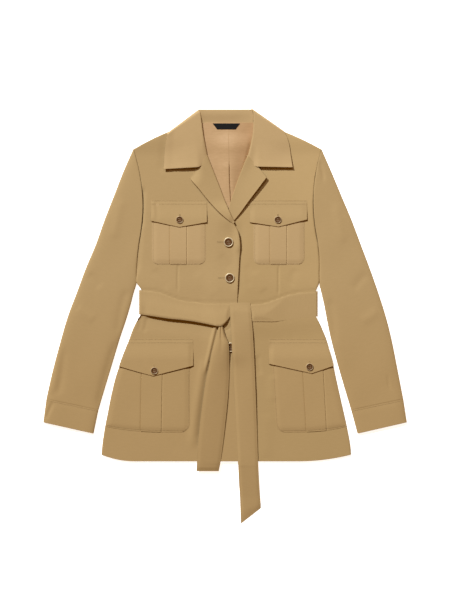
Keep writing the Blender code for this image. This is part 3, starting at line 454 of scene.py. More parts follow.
@dataclass(frozen=True)
class Lay:
    """Where the layers lie: the plan of the body's edges, and the cloth's heights over the floor."""

    front_top: float = 4.8
    front_seam: float = 3.3
    side_fold: float = 4.0
    side_inset: float = 1.2
    belt_lift: float = 2.4
    onto_belt: Step = Step(-19, -3)
    off_belt: Step = Step(74, 58)
    onto_collar: Step = Step(336, 374)
    front_lift: float = 1.5
    front_lifts: Step = Step(118, 58)
    hollow_ends: Step = Step(8, 38)
    hollow_starts: Step = Step(-170, -156)
    strip_lift: float = 2.1
    strip_across: Step = Step(-55, -11)
    strip_along: Step = Step(248, 218)
    belt_mark: float = 0.8
    mark_over: float = 0.6
    mark_width: float = 2.2
    pressed_below: Step = Step(8, 0)
    lining_gap: float = 0.2

    def under(self, y: Places) -> Array:
        """Give the lift of the body where the belt or the collar lies behind it."""
        return self.belt_lift * np.maximum(self.onto_belt(y) * self.off_belt(y), self.onto_collar(y))

    def lining(self, y: Places) -> Array:
        """Give the height of the lining's outside where it lies flat on the back."""
        return CLOTH + self.under(y) + SEAM + self.lining_gap + LINING

    def below_belt(self, side: Side, x: Places, y: Places) -> Array:
        """Tell where a front is clear of the belt: 0 under and above it, 1 below its lower edge."""
        return OUT_OF_BELT[side](BELT[side].at("low", x) - y)

    def raised(self, side: Side, x: Places, y: Places) -> Array:
        """Give a front's lift where belt or collar lies behind it, and its hollow below the belt.

        Args:
            side: Which front.
            x: Plan positions across.
            y: Plan positions along.

        Returns:
            What the layers add to the front's height.
        """
        clear = self.below_belt(side, x, y)
        belt = self.front_lift * (1 - clear) * self.front_lifts(y)
        back = self.hollow_ends(BELT[side].at("low", x) - y)
        sunk = HOLLOW[side] * clear * (1 - back) * self.hollow_starts(np.asarray(x))
        return np.maximum(belt, self.belt_lift * self.onto_collar(y)) - sunk

    def side_x(self, side: Side, y: Places) -> Array:
        """Give the body's edge, up the side seam and then along the armhole.

        Args:
            side: Which edge.
            y: Plan positions along the jacket.

        Returns:
            The plan position across of the edge.
        """
        top, armpit = SLEEVE["outer_y"][0], SLEEVE["inner_y"][0]
        share = np.clip((top - y) / (top - armpit), 0.0, 1.0)
        outer, inner = (SLEEVE[f"{side.value}_{end}"][0] for end in ("outer", "inner"))
        armhole = blend(outer, inner, share) + side.inward * (SLEEVE["bow"][0] * arch(share) + SEAM)
        return np.where(np.asarray(y) <= armpit, BODY_SIDE.at(side.value, y), armhole)

    def front(self, side: Side, x: Array, y: Array) -> Array:
        """Give the height of a front's outside, away from its rounded edges.

        Args:
            side: Which front.
            x: Plan positions across.
            y: Plan positions along.

        Returns:
            Heights over the floor.
        """
        height = self.front_top + self.raised(side, x, y)
        height = height + sum(mound.height(x, y) for mound in FRONT_MOUNDS[side])
        if side is Side.LEFT:
            height = height + self.strip_lift * self.strip_across(x) * self.strip_along(y)
        above = y - BELT[side].at("high", x)
        height = height - self.belt_mark * hump(above, self.mark_over, self.mark_width)
        creased = sum(crease.height(x, y) for crease in FRONT_CREASES[side])
        pressed = (1 - self.below_belt(side, x, y)) * self.pressed_below(above)
        return height + FRONT_SLACK.height(x, y) + creased * (1 - pressed)

    def on_front(self, side: Side, x: Array, y: Array, out: Array) -> Array:
        """Give points that stand off a front's outside and go round its side fold with it.

        Args:
            side: Which front.
            x: Plan positions across.
            y: Plan positions along.
            out: Distances from the front's outside.

        Returns:
            One point for each position.
        """
        seam_x = self.side_x(side, y)
        distance = np.maximum(0.0, (x - seam_x) * side.inward)
        cosine = np.maximum(0.0, 1 - distance / self.side_fold)
        sine = np.sqrt(1 - cosine**2)
        top = self.front(side, x, y)
        seam = self.front_seam + self.under(y)
        normal = np.stack([cosine / self.side_fold, sine / (top - seam)])
        normal = normal / np.linalg.norm(normal, axis=0)
        across = seam_x + side.inward * (distance - normal[0] * out)
        return points(across, y, blend(seam, top, sine) + normal[1] * out)


LAY = Lay()


def srgb(code: str) -> tuple[float, float, float, float]:
    """Turn an sRGB code such as "#C0A070" into linear light with full alpha."""
    parts = [int(code[i : i + 2], 16) / 255 for i in (1, 3, 5)]
    return (*(p / 12.92 if p <= 0.04045 else ((p + 0.055) / 1.055) ** 2.4 for p in parts), 1.0)


def add(
    tree: NodeTree, kind: str, inputs: dict | None = None, out: int | str = 0, **settings: object
) -> NodeSocket | None:
    """Add a node with its settings and inputs.

    Args:
        tree: The tree to add to.
        kind: The node's type name.
        inputs: A value or another node's output for each input, by name or number.
        out: Which output is wanted, by name or number.
        settings: The node's own properties.

    Returns:
        The wanted output, or nothing from a node that has none.
    """
    node = tree.nodes.new(kind)
    for key, value in settings.items():
        setattr(node, key, value)
    for key, value in (inputs or {}).items():
        if isinstance(value, NodeSocket):
            tree.links.new(value, node.inputs[key])
        else:
            node.inputs[key].default_value = value
    return node.outputs[out] if node.outputs else None


@dataclass(frozen=True)
class Finish:
    """A surface: the real material's name, its two colours, and how it takes the light."""

    name: str
    light: str
    dark: str
    slot: Slot
    roughness: float = 0.8
    specular: float = 0.5

    def material(self) -> Material:
        """Make the material the first time that it is asked for.

        Returns:
            The Blender material.
        """
        found = bpy.data.materials.get(self.name)
        if found:
            return found
        made = bpy.data.materials.new(self.name)
        made.use_nodes = True
        shader = made.node_tree.nodes["Principled BSDF"]
        shader.inputs["Roughness"].default_value = self.roughness
        shader.inputs["Specular IOR Level"].default_value = self.specular
        self.shade(made.node_tree, shader)
        return made

    def shade(self, tree: NodeTree, shader: Node) -> None:
        """Join this finish's pattern to the shader."""
        raise NotImplementedError


@dataclass(frozen=True)
class Weave(Finish):
    """Woven cloth: slanted ribs, slubs along the weft, and slow uneven dyeing.

    The ribs are drawn coarser than the real 0.5 mm, which would flicker at this size. The painted shade
    colour deepens the cloth little by little, away from the side where it is paler, as painted light falloff.
    Lengths are millimetres.
    """

    roughness: float = 0.85
    specular: float = 0.2
    rib: float = 1.5
    rib_angle: float = 60.0
    rib_wander: float = 0.6
    rib_share: float = 0.5
    slub: float = 3.0
    slub_stretch: float = 4.0
    cloud: float = 45.0
    cloud_share: float = 0.35
    tone: Pair = (0.45, 1.4)
    relief: float = 0.06
    yarn: float = 0.4
    sheen: float = 0.1
    # Painted shade: this tint is multiplied in away from the paler side, standing in for light falling off
    painted_shade: str = "#FFFFFF"
    pale_from: Pair = (-120.0, 80.0)
    paler_towards: tuple[float, float, float] = (0.0, 1.0, 0.0)

    def shade(self, tree: NodeTree, shader: Node) -> None:
        """Join the weave to the shader.

        Args:
            tree: The material's node tree.
            shader: Its Principled node.
        """
        per_metre = 2 * math.pi / (WAVE_RADIANS * self.rib * MM)
        slant = (0, 0, math.radians(self.rib_angle))
        cut = add(tree, "ShaderNodeUVMap", uv_map="cut")
        turned = add(tree, "ShaderNodeMapping", {0: cut, "Rotation": slant})
        wave = {"Vector": turned, "Scale": per_metre, "Distortion": self.rib_wander, "Detail": 1.0}
        ribs = add(tree, "ShaderNodeTexWave", wave, "Fac")
        drawn = add(tree, "ShaderNodeMapping", {0: cut, "Scale": (1 / self.slub_stretch, 1.0, 1.0)})
        slub = {"Vector": drawn, "Scale": 1 / (self.slub * MM), "Detail": 3.0}
        slubs = add(tree, "ShaderNodeTexNoise", slub, "Fac")
        cloud = {"Vector": cut, "Scale": 1 / (self.cloud * MM), "Detail": 2.0}
        clouds = add(tree, "ShaderNodeTexNoise", cloud, "Fac")
        ribbed = {0: ribs, 1: self.rib_share, 2: slubs}
        yarn = add(tree, "ShaderNodeMath", ribbed, operation="MULTIPLY_ADD")
        clouded = {0: clouds, 1: self.cloud_share, 2: yarn}
        dyed = add(tree, "ShaderNodeMath", clouded, operation="MULTIPLY_ADD")
        tone = {0: dyed, "From Min": self.tone[0], "From Max": self.tone[1]}
        shade = add(tree, "ShaderNodeMapRange", tone, clamp=True)
        dyes = {0: shade, 6: srgb(self.dark), 7: srgb(self.light)}
        plain = add(tree, "ShaderNodeMix", dyes, 2, data_type="RGBA")
        # Painted shade: the colour darkens towards the tint along a line in object space
        where = add(tree, "ShaderNodeTexCoord", out="Object")
        measured = {0: where, 1: self.paler_towards}
        along = add(tree, "ShaderNodeVectorMath", measured, "Value", operation="DOT_PRODUCT")
        deep, pale = (place * MM for place in self.pale_from)
        deepened = add(tree, "ShaderNodeMapRange", {0: along, "From Min": pale, "From Max": deep}, clamp=True)
        painted_shade = {0: deepened, 6: plain, 7: srgb(self.painted_shade)}
        colour = add(tree, "ShaderNodeMix", painted_shade, 2, data_type="RGBA", blend_type="MULTIPLY")
        tree.links.new(colour, shader.inputs["Base Color"])
        bump = {"Height": yarn, "Strength": self.relief, "Distance": self.yarn * MM}
        tree.links.new(add(tree, "ShaderNodeBump", bump), shader.inputs["Normal"])
        shader.inputs["Sheen Weight"].default_value = self.sheen
        shader.inputs["Sheen Tint"].default_value = srgb(self.light)


@dataclass(frozen=True)
class Marbled(Finish):
    """Cloudy hard material with a polished or brushed skin."""

    cloud: float = 4.0
    metallic: float = 0.0
    uneven: float = 0.2

    def shade(self, tree: NodeTree, shader: Node) -> None:
        """Join the clouds to the shader.

        Args:
            tree: The material's node tree.
            shader: Its Principled node.
        """
        where = add(tree, "ShaderNodeTexCoord", out="Object")
        cloud = {"Vector": where, "Scale": 1 / (self.cloud * MM), "Detail": 3.0, "Distortion": 0.8}
        clouds = add(tree, "ShaderNodeTexNoise", cloud, "Fac")
        tints = {0: clouds, 6: srgb(self.dark), 7: srgb(self.light)}
        colour = add(tree, "ShaderNodeMix", tints, 2, data_type="RGBA")
        tree.links.new(colour, shader.inputs["Base Color"])
        smooth, rough = (self.roughness * (1 + part) for part in (-self.uneven, self.uneven))
        polish = add(tree, "ShaderNodeMapRange", {0: clouds, "To Min": smooth, "To Max": rough})
        tree.links.new(polish, shader.inputs["Roughness"])
        shader.inputs["Metallic"].default_value = self.metallic


# Matte cotton with fine slanted ribs and a faint bloom at grazing angles, darkened towards the hem by painted
# shade
TWILL = Weave("khaki_cotton_twill", "#AE9165", "#A88C60", Slot.CLOTH, painted_shade="#FAF7F2")
# The same twill a shade paler: painted light, for the collar, its stand and the chest pockets
PAINTED_LIGHTER_TWILL = Weave("khaki_twill_painted_lighter", "#B6986D", "#B09367", Slot.CLOTH)
# The under front's twill, paler all over as painted light, palest at the shoulder and darkened by painted
# shade towards the middle and the hem
PAINTED_LIGHTER_FRONT_TWILL = Weave(
    "khaki_twill_painted_lighter_front",
    "#B7996B",
    "#B19465",
    Slot.CLOTH,
    painted_shade="#EDEBE6",
    pale_from=(20.0, 330.0),
    paler_towards=(0.6, 0.8, 0.0),
)
# A darker copy of the twill for the belt's short end: painted shade, deepening further towards the hem
PAINTED_DARKER_TWILL = Weave("khaki_twill_painted_darker", "#A78A5F", "#A1855A", Slot.CLOTH, painted_shade="#FAF7F2")
# Smooth lining, pinker than the cloth, with a low satin shine, darkened towards the right by painted shade
SATIN = Weave(
    "tan_acetate_lining",
    "#BF9B73",
    "#AC8B62",
    Slot.LINING,
    0.5,
    cloud=60.0,
    rib=0.9,
    rib_angle=90.0,
    relief=0.03,
    # Painted shade: darker towards the lining's right, beside the right roll
    painted_shade="#F5EEE8",
    pale_from=(-50.0, -8.0),
    paler_towards=(-1.0, 0.0, 0.0),
)
# Black woven tape, which shows only its ribs
TAPE = Weave(
    "black_woven_tape", "#161514", "#0C0B0B", Slot.LABEL, 0.8, rib=0.8, rib_angle=0.0, relief=0.12, sheen=0.0
)
# Dark brown horn-effect plastic, polished, with lighter clouds
HORN = Marbled("brown_horn_plastic", "#6B4726", "#482C14", Slot.HORN, 0.5, 0.12)
# Pale gold plating, bright on its rounded top
GOLD = Marbled("pale_gold_plate", "#DCCBAA", "#C9B48E", Slot.BRASS, 0.45, metallic=0.4)
# The flap buttons' plating, worn and dull
DULL_PLATE = Marbled("worn_pale_plate", "#D6BF9B", "#BEA782", Slot.BRASS, 0.5, metallic=0.4)
# Sewing thread, a little darker than the cloth, which draws the seams as faint lines
THREAD = Marbled("khaki_sewing_thread", "#8C7047", "#7C623C", Slot.CLOTH, 0.6, cloud=1.5)
# Pale button thread, which shows as a light speck in each dish
PALE_THREAD = Marbled("pale_button_thread", "#D9C4A4", "#C8B18E", Slot.CLOTH, 0.6, cloud=1.5)
# Matte white studio floor
PAPER = Marbled("white_studio_paper", "#FFFFFF", "#FAFAFA", Slot.CLOTH, 0.9, cloud=300.0)


def adopt(piece: Object, finish: Finish, *nodes: str) -> Object:
    """Give a piece its finish and its place in the frame.

    Args:
        piece: The finished object.
        finish: What it is made of.
        nodes: The solids that it stands for.

    Returns:
        The same object.
    """
    piece.data.materials.clear()
    piece.data.materials.append(finish.material())
    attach(piece, "root")
    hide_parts(*nodes)
    LOG.info("%s: %d faces", piece.name, len(piece.data.polygons))
    return piece


def mesh_object(name: str, corners: Array, faces: list, edges: list | None = None) -> Object:
    """Make an object from points in millimetres.

    Args:
        name: The object's name.
        corners: One row for each vertex.
        faces: Vertex numbers of each face.
        edges: Vertex numbers of loose edges.

    Returns:
        The object, linked to the scene.
    """
    mesh = bpy.data.meshes.new(name)
    mesh.from_pydata((np.asarray(corners) * MM).tolist(), edges or [], faces)
    mesh.shade_smooth()
    piece = bpy.data.objects.new(name, mesh)
    bpy.context.scene.collection.objects.link(piece)
    return piece


@dataclass
class Cloth:
    """One sewn piece: its outside as a grid of points, thickened inwards with a rounded rim.

    The grain is the angle of the warp from +Y, in degrees. A ring joins its last column to its first.
    The rim bulges by a share of the thickness. Upright cloth takes up a share of its height on the flat
    cut, so that its ribs don't smear. The least area is the smallest share of its box that a cut fills.
    """

    node: str
    grid: Array
    rests_on: str
    finish: Finish = TWILL
    thickness: float | Array = CLOTH
    grain: float = 0.0
    ring: bool = False
    cut: Pair | None = None
    rim_bulge: float = 0.35
    upright: float = 0.5
    least_area: float = 0.31
    thread_out: float = 0.15
    normals: Array = field(init=False)

    def __post_init__(self) -> None:
        """Measure which way the cloth faces at each point."""
        grid = self.grid = np.asarray(self.grid, float)
        across = np.roll(grid, -1, 1) - np.roll(grid, 1, 1) if self.ring else np.gradient(grid, axis=1)
        self.normals = unit(np.cross(across, np.gradient(grid, axis=0)))

    def borders(self) -> list[tuple[Array, Array]]:
        """List the open edges.

        Returns:
            Row and column numbers round each edge, with the cloth to their left.
        """
        rows, columns = self.grid.shape[:2]
        r, c = np.arange(rows), np.arange(columns)
        first, last = np.zeros_like(c), np.full_like(c, rows - 1)
        if self.ring:
            return [(first, c), (last, c[::-1])]
        right, left = np.full(rows - 2, columns - 1), np.zeros(rows - 2, int)
        round_rows = np.concatenate([first, r[1:-1], last, r[-2:0:-1]])
        return [(round_rows, np.concatenate([c, right, c[::-1], left]))]

    def build(self) -> "Cloth":
        """Make the closed shell and dress it.

        Returns:
            This piece of cloth.
        """
        grid, normals = self.grid, self.normals
        rows, columns = grid.shape[:2]
        count = rows * columns
        deep = np.broadcast_to(self.thickness, (rows, columns))[..., None]
        number = np.arange(count).reshape(rows, columns)
        following = np.roll(number, -1, 1) if self.ring else number[:, 1:]
        here = number if self.ring else number[:, :-1]
        outside = np.stack([here[:-1], following[:-1], following[1:], here[1:]], axis=-1).reshape(-1, 4)
        faces = [outside, outside[:, ::-1] + count]
        parts = [grid.reshape(-1, 3), (grid - normals * deep).reshape(-1, 3)]
        total = 2 * count
        for r, c in self.borders():
            inside_c = c if self.ring else np.clip(c, 1, columns - 2)
            away = unit(grid[r, c] - grid[np.clip(r, 1, rows - 2), inside_c])
            parts.append(grid[r, c] + (away * self.rim_bulge - normals[r, c] / 2) * deep[r, c])
            rim = np.arange(total, total + len(r))
            outer = number[r, c]
            after, rim_after = np.roll(outer, -1), np.roll(rim, -1)
            faces.append(np.stack([after, outer, rim, rim_after], axis=-1))
            faces.append(np.stack([rim_after, rim, outer + count, after + count], axis=-1))
            total += len(r)
        placed = np.concatenate(parts)
        placed[:, 2] = np.maximum(placed[:, 2], 0.0)
        piece = mesh_object(f"{self.node}_cloth", placed, np.concatenate(faces).tolist())
        self.crease_rim(piece.data)
        self.lay_grain(piece.data, placed * MM)
        self.declare(adopt(piece, self.finish, self.node))
        return self

    def crease_rim(self, mesh: Mesh) -> None:
        """Keep the rounded rim's shading off the flat of the cloth.

        Args:
            mesh: The shell.
        """
        rows, columns = self.grid.shape[:2]
        on_rim = np.zeros(len(mesh.vertices), bool)
        for r, c in self.borders():
            number = r * columns + c
            on_rim[number] = on_rim[number + rows * columns] = True
        ends = np.empty(len(mesh.edges) * 2, int)
        mesh.edges.foreach_get("vertices", ends)
        sharp = mesh.attributes.new("sharp_edge", "BOOLEAN", "EDGE")
        sharp.data.foreach_set("value", on_rim[ends.reshape(-1, 2)].all(axis=1))

    def lay_grain(self, mesh: Mesh, placed: Array) -> None:
        """Write where each point lay on the flat cloth, along the grain.

        Args:
            mesh: The shell.
            placed: Its points, in metres.
        """
        x, y, z = placed.T
        cosine, sine = math.cos(math.radians(self.grain)), math.sin(math.radians(self.grain))
        flat = np.stack([x * cosine + y * sine + z * self.upright, y * cosine - x * sine], axis=-1)
        corners = np.empty(len(mesh.loops), int)
        mesh.loops.foreach_get("vertex_index", corners)
        mesh.uv_layers.new(name="cut").data.foreach_set("uv", flat[corners].ravel())

    def declare(self, piece: Object) -> None:
        """Measure the flat cut of the cloth that shows, without keeping or stating the sizes.

        Args:
            piece: The shell; not used.
        """
        grid = np.concatenate([self.grid, self.grid[:, :1]], axis=1) if self.ring else self.grid
        across, along = np.diff(grid, axis=1), np.diff(grid, axis=0)
        width = np.linalg.norm(across, axis=2).sum(1).max() * MM
        length = np.linalg.norm(along, axis=2).sum(0).max() * MM
        area = np.linalg.norm(np.cross(across[:-1], along[:, :-1]), axis=2).sum() * MM**2
        width, length = self.cut or (width, length)
        area = min(max(area, self.least_area * width * length), width * length)

    def line(self, row: int | slice, column: int | slice) -> Array:
        """Give a line of points just off the outside, for sewing."""
        return self.grid[row, column] + self.normals[row, column] * self.thread_out


@dataclass
class Sewing:
    """Rows of stitches along paths, made by geometry nodes.

    The across setting lays each stitch at right angles to its path, as round a buttonhole.
    """

    name: str
    pitch: float = 3.0
    stitch: float = 2.5
    thread: float = 0.55
    across: bool = False
    finish: Finish = THREAD
    seed: int = 7
    uneven: Pair = (0.9, 1.1)
    paths: list[Array] = field(default_factory=list)

    def tree(self) -> NodeTree:
        """Build the node tree.

        Returns:
            A tree with the inputs Pitch, Stitch, Thread, Seed and Finish.
        """
        tree = bpy.data.node_groups.new(f"{self.name}_rows", "GeometryNodeTree")
        kinds = {"Geometry": "Geometry", "Seed": "Int", "Finish": "Material"}
        for label in ("Geometry", "Pitch", "Stitch", "Thread", "Seed", "Finish"):
            kind = f"NodeSocket{kinds.get(label, 'Float')}"
            tree.interface.new_socket(label, in_out="INPUT", socket_type=kind)
        tree.interface.new_socket("Geometry", in_out="OUTPUT", socket_type="NodeSocketGeometry")
        given = add(tree, "NodeGroupInput").node.outputs
        curve = add(tree, "GeometryNodeMeshToCurve", {0: given["Geometry"]})
        spaced = {"Curve": curve, "Length": given["Pitch"]}
        rows = add(tree, "GeometryNodeResampleCurve", spaced, mode="LENGTH")
        along = {"Vector": add(tree, "GeometryNodeInputTangent")}
        turned = add(tree, "FunctionNodeAlignRotationToVector", along, axis="Y" if self.across else "X")
        least, most = self.uneven
        spread = {2: least, 3: most, "Seed": given["Seed"]}
        uneven = add(tree, "FunctionNodeRandomValue", spread, 1, data_type="FLOAT")
        length = add(tree, "ShaderNodeMath", {0: given["Stitch"], 1: uneven}, operation="MULTIPLY")
        size = add(tree, "ShaderNodeCombineXYZ", {0: length, 1: given["Thread"], 2: given["Thread"]})
        bead = add(tree, "GeometryNodeMeshIcoSphere", {"Radius": 0.5, "Subdivisions": 1})
        laid = {"Points": rows, "Instance": bead, "Rotation": turned, "Scale": size}
        real = add(tree, "GeometryNodeRealizeInstances", {0: add(tree, "GeometryNodeInstanceOnPoints", laid)})
        smooth = add(tree, "GeometryNodeSetShadeSmooth", {0: real})
        done = add(tree, "GeometryNodeSetMaterial", {0: smooth, "Material": given["Finish"]})
        add(tree, "NodeGroupOutput", {0: done})
        return tree

    def build(self) -> None:
        """Sew along every path, and dress the stitches as one plain mesh."""
        edges, start = [], 0
        for path in self.paths:
            edges += [(start + i, start + i + 1) for i in range(len(path) - 1)]
            start += len(path)
        piece = mesh_object(self.name, np.concatenate(self.paths), [], edges)
        tree = self.tree()
        rows = piece.modifiers.new("sewing", "NODES")
        rows.node_group = tree
        values = {
            "Pitch": self.pitch * MM,
            "Stitch": self.stitch * MM,
            "Thread": self.thread * MM,
            "Seed": self.seed,
            "Finish": self.finish.material(),
        }
        for socket in tree.interface.items_tree:
            if socket.in_out == "INPUT" and socket.name in values:
                rows[socket.identifier] = values[socket.name]
        bpy.context.view_layer.update()
        sewn = piece.evaluated_get(bpy.context.evaluated_depsgraph_get())
        made = bpy.data.meshes.new_from_object(sewn)
        piece.modifiers.clear()
        piece.data = made
        adopt(piece, self.finish)


# How far in the hem's corners are rounded, as shares of a front, and how far the shoulders bow up
HEM_CORNER = {Side.LEFT: 0.24, Side.RIGHT: 0.4}
SHOULDER_BOW = {Side.LEFT: 26.0, Side.RIGHT: 20.0}


@dataclass
class Body:
    """The back and the two fronts. Rows are named by where they meet the side edge."""

    row_step: float = 4.0
    columns: int = 100
    back_columns: int = 80
    top: float = SLEEVE["outer_y"][0] - 0.5
    shoulder_fold: float = 3.0
    shoulder_rows: int = 6
    shoulder_edge: float = 0.6
    side_columns: int = 8
    side_from: float = -16.0
    at_seam: Step = Step(10, 0)
    armhole: Step = Step(100, 150)
    hem_rounds: Step = Step(-255, -289)
    shoulder_slopes: Step = Step(300, 348)
    side_opens: Step = Step(92, 62)
    back_hem: float = 12.5
    back_corner: float = 0.3
    back_slopes: Step = Step(190, 348)
    back_rise: float = 53.5
    neck_from: float = 0.35
    back_bow: Pair = (20.0, 4.0)
    back_turn: float = 1.9
    fold_starts: Step = Step(0, 0.06)
    fold_ends: Step = Step(0.31, 0.26)

    def rows(self) -> Array:
        """List the rows from hem to shoulder."""
        fold = self.top - self.shoulder_fold * (1 - np.sin(np.linspace(0, math.pi / 2, self.shoulder_rows)))
        return np.concatenate([np.arange(BODY_SIDE["y"][0], fold[0] - 1, self.row_step), fold])

    def clear_of_fold(self, side_y: float) -> float:
        """Tell how far a row is from the folded shoulder: 0 on the fold, 1 clear of it."""
        return float(quarter((self.top - side_y) / self.shoulder_fold))

    def side_edge(self, sewn: float) -> tuple[Array, Array]:
        """Give the columns of a rounded side edge.

        Args:
            sewn: 1 at the side seam, 0 where the edge is left flat.

        Returns:
            Distances from the edge, and shares of the full height.
        """
        angle = np.radians(np.linspace(self.side_from, 90, self.side_columns))
        spread = LAY.side_fold * np.linspace(0, 1, self.side_columns)
        return blend(spread, LAY.side_fold * (1 - np.cos(angle)), sewn), np.sin(angle)

    def front(self, side: Side) -> Array:
        """Shape a front from its side edge to its front edge and roll line.

        Args:
            side: Which front.

        Returns:
            The grid of its outside.
        """
        edge, grid = FRONT_EDGE[side], []
        near, rise = self.side_edge(1.0)
        rise = np.concatenate([rise, np.ones(self.columns - 1)])
        for side_y in self.rows():
            start = np.array([float(LAY.side_x(side, side_y)), side_y])
            end = np.array([edge.at("x", side_y), edge.at("y", side_y)])
            width = np.linalg.norm(end - start)
            distance = np.concatenate([near, np.linspace(LAY.side_fold, width, self.columns)[1:]])
            share = distance / width
            x, y = blend(start[:, None], end[:, None], share)
            level = rounded(share / HEM_CORNER[side])
            y = y + (end[1] - start[1]) * self.hem_rounds(side_y) * (level - share)
            y = y + SHOULDER_BOW[side] * self.shoulder_slopes(side_y) * share * (1 - share)
            top, seam = LAY.front(side, x, y), LAY.front_seam + LAY.under(y)
            pressed = top - ARMHOLE[side].at("front", side_y)
            z = blend(blend(seam, pressed, self.armhole(side_y)), top, rise)
            z = blend(seam + self.shoulder_edge, z, self.clear_of_fold(side_y))
            grid.append(points(x, y, z)[:: int(side.inward)])
        return np.array(grid)

    def back(self) -> Array:
        """Shape the back, flat on the floor, from side seam to side seam and hem to neck.

        Returns:
            The grid of its outside, which faces down.
        """
        grid = []
        for side_y in self.rows()[::2]:
            left, right = (float(LAY.side_x(side, side_y)) for side in Side)
            width = right - left
            sewn = float(self.side_opens(side_y))
            near, rise = self.side_edge(sewn)
            flat = np.linspace(LAY.side_fold, width - LAY.side_fold, self.back_columns)[1:-1]
            distance = np.concatenate([near, flat, width - near[::-1]])
            rise = np.concatenate([rise, np.ones(len(flat)), rise[::-1]])
            inward = np.minimum(distance, width - distance) / width
            y = side_y - self.back_hem * self.hem_rounds(side_y) * rounded(inward / self.back_corner)
            up = np.minimum(1.0, inward / self.neck_from)
            bow = np.where(distance < width / 2, *self.back_bow)
            y = y + self.back_slopes(side_y) * (self.back_rise * up + bow * up * (1 - up))
            folded = (1 - self.clear_of_fold(side_y)) * self.fold_ends(inward) * self.fold_starts(inward)
            edge = self.back_turn * np.maximum((1 - rise) * sewn, folded)
            grid.append(points(left + distance, y, edge + LAY.under(y))[::-1])
        return np.array(grid)

    def build(self) -> None:
        """Make the three panels."""
        Cloth("back", self.back(), "floor").build()
        # The under front takes the paler twill: painted light
        for side, under, finish in ((Side.LEFT, "front_right", TWILL), (Side.RIGHT, "back", PAINTED_LIGHTER_FRONT_TWILL)):
            grid = self.front(side)
            x, y = grid[..., 0], grid[..., 1]
            thin = self.at_seam(np.abs(x - LAY.side_x(side, y))) * SEAM_THINS(y)
            deep = blend(CLOTH, SEAM_THIN, thin)
            Cloth(f"front_{side.value}", grid, f"{under}_cloth", finish, deep).build()


@dataclass
class Sleeve:
    """A sleeve and its cuff, each a flattened tube.

    The seam rows are sleeve rows beside the armhole. The tuck is where the sleeve goes into the cuff, as
    shares of the cuff and heights.
    """

    side: Side
    sewing: Sewing
    height: float = 6.6
    cuff_height: float = 6.9
    cuff_dip: float = 0.7
    cuff_fills: Step = Step(0, 0.25)
    grain: float = 20.0
    columns: int = 48
    squareness: float = 7.0
    seam_rows: tuple[float, ...] = (0.0, 0.012, 0.03, 0.055, 0.085, 0.12)
    long_rows: tuple[float, int] = (0.2, 100)
    thin_rows: Step = Step(8, 0)
    tuck: tuple[Pair, ...] = ((0.012, 5.6), (0.03, 3.6), (0.1, 2.6))
    cuff_edge: tuple[float, ...] = (0.008, 0.025)
    cuff_rows: tuple[float, int] = (0.06, 16)
    sewn_row: int = 2

    def ring(self, row: dict[str, float], height: float, middle: float, at_seam: float = 0.0) -> Array:
        """Shape one section, flat underneath and crowned on top.

        Args:
            row: The section's ends and bow.
            height: From the underside to the crown.
            middle: Half-way up the section.
            at_seam: 1 on the armhole seam, 0 clear of it.

        Returns:
            Points round the section.
        """
        side = self.side
        ends = ((row[f"{side.value}_{end}"], row[f"{end}_y"]) for end in ("outer", "inner"))
        outer, inner = (np.array(end)[:, None] for end in ends)
        share = (1 - np.cos(np.linspace(0, math.pi, self.columns))) / 2
        share = np.concatenate([share, share[-2:0:-1]])
        upper = np.where(np.arange(len(share)) < self.columns, 1.0, -1.0)
        x, y = blend(outer, inner, share)
        x = x + side.inward * row["bow"] * arch(share)
        spread = np.sqrt(np.maximum(0.0, 1 - np.abs(2 * share - 1) ** self.squareness))
        slack = SLEEVE_SLACK.height(x, y) + sum(crease.height(x, y) for crease in SLEEVE_CREASES[side])
        slack = slack * ease(height / self.height) - at_seam * ARMHOLE[side].at("sleeve", y)
        z = middle + spread * (height / 2 * upper + slack * (upper > 0))
        return points(x, y, z)[:: -int(side.inward)]

    def cuff_section(self, share: float) -> dict[str, float]:
        """Give a section between the cuff seam, at 0, and the cuff's end, at 1."""
        seam = SLEEVE.row(SLEEVE.last)
        return {name: blend(seam[name], end, share) for name, end in CUFF_END.items()}

    def build(self) -> None:
        """Make the sleeve, the cuff and the cuff's row of stitches."""
        name, middle = self.side.value, self.cuff_height / 2
        turn = -self.grain * self.side.inward
        first, count = self.long_rows
        rows = []
        for number in (*self.seam_rows, *np.linspace(first, SLEEVE.last, count)):
            at_seam = 1 - float(quarter(number / self.seam_rows[-1]))
            rows.append(self.ring(SLEEVE.row(number), self.height, self.height / 2, at_seam))
        rows += [self.ring(self.cuff_section(share), height, middle) for share, height in self.tuck]
        tube = np.array(rows)
        thin = self.thin_rows(np.arange(len(tube)))[:, None] * SEAM_THINS(tube[..., 1])
        deep = blend(CLOTH, SEAM_THIN, thin)
        Cloth(f"sleeve_{name}", tube, "floor", thickness=deep, grain=turn, ring=True).build()
        first, count = self.cuff_rows
        bands = []
        for share in (*self.cuff_edge, *np.linspace(first, 1.0, count)):
            height = self.cuff_height - self.cuff_dip * (1 - float(self.cuff_fills(share)))
            bands.append(self.ring(self.cuff_section(share), height, middle))
        cuff = Cloth(f"cuff_{name}", bands, "floor", thickness=DOUBLE, grain=turn, ring=True).build()
        line = cuff.line(self.sewn_row, slice(None))
        self.sewing.paths.append(line[line[:, 2] > middle])


def chord(row: dict[str, float]) -> tuple[Array, Array, float]:
    """Measure a row of a lapel or collar from its roll line outwards.

    Args:
        row: The row's inner and outer ends.

    Returns:
        The inner end, the way from there to the outer end, and its length.
    """
    inner = np.array([row["inner_x"], row["inner_y"]])
    outwards = np.array([row["outer_x"], row["outer_y"]]) - inner
    return inner, outwards, float(np.linalg.norm(outwards))


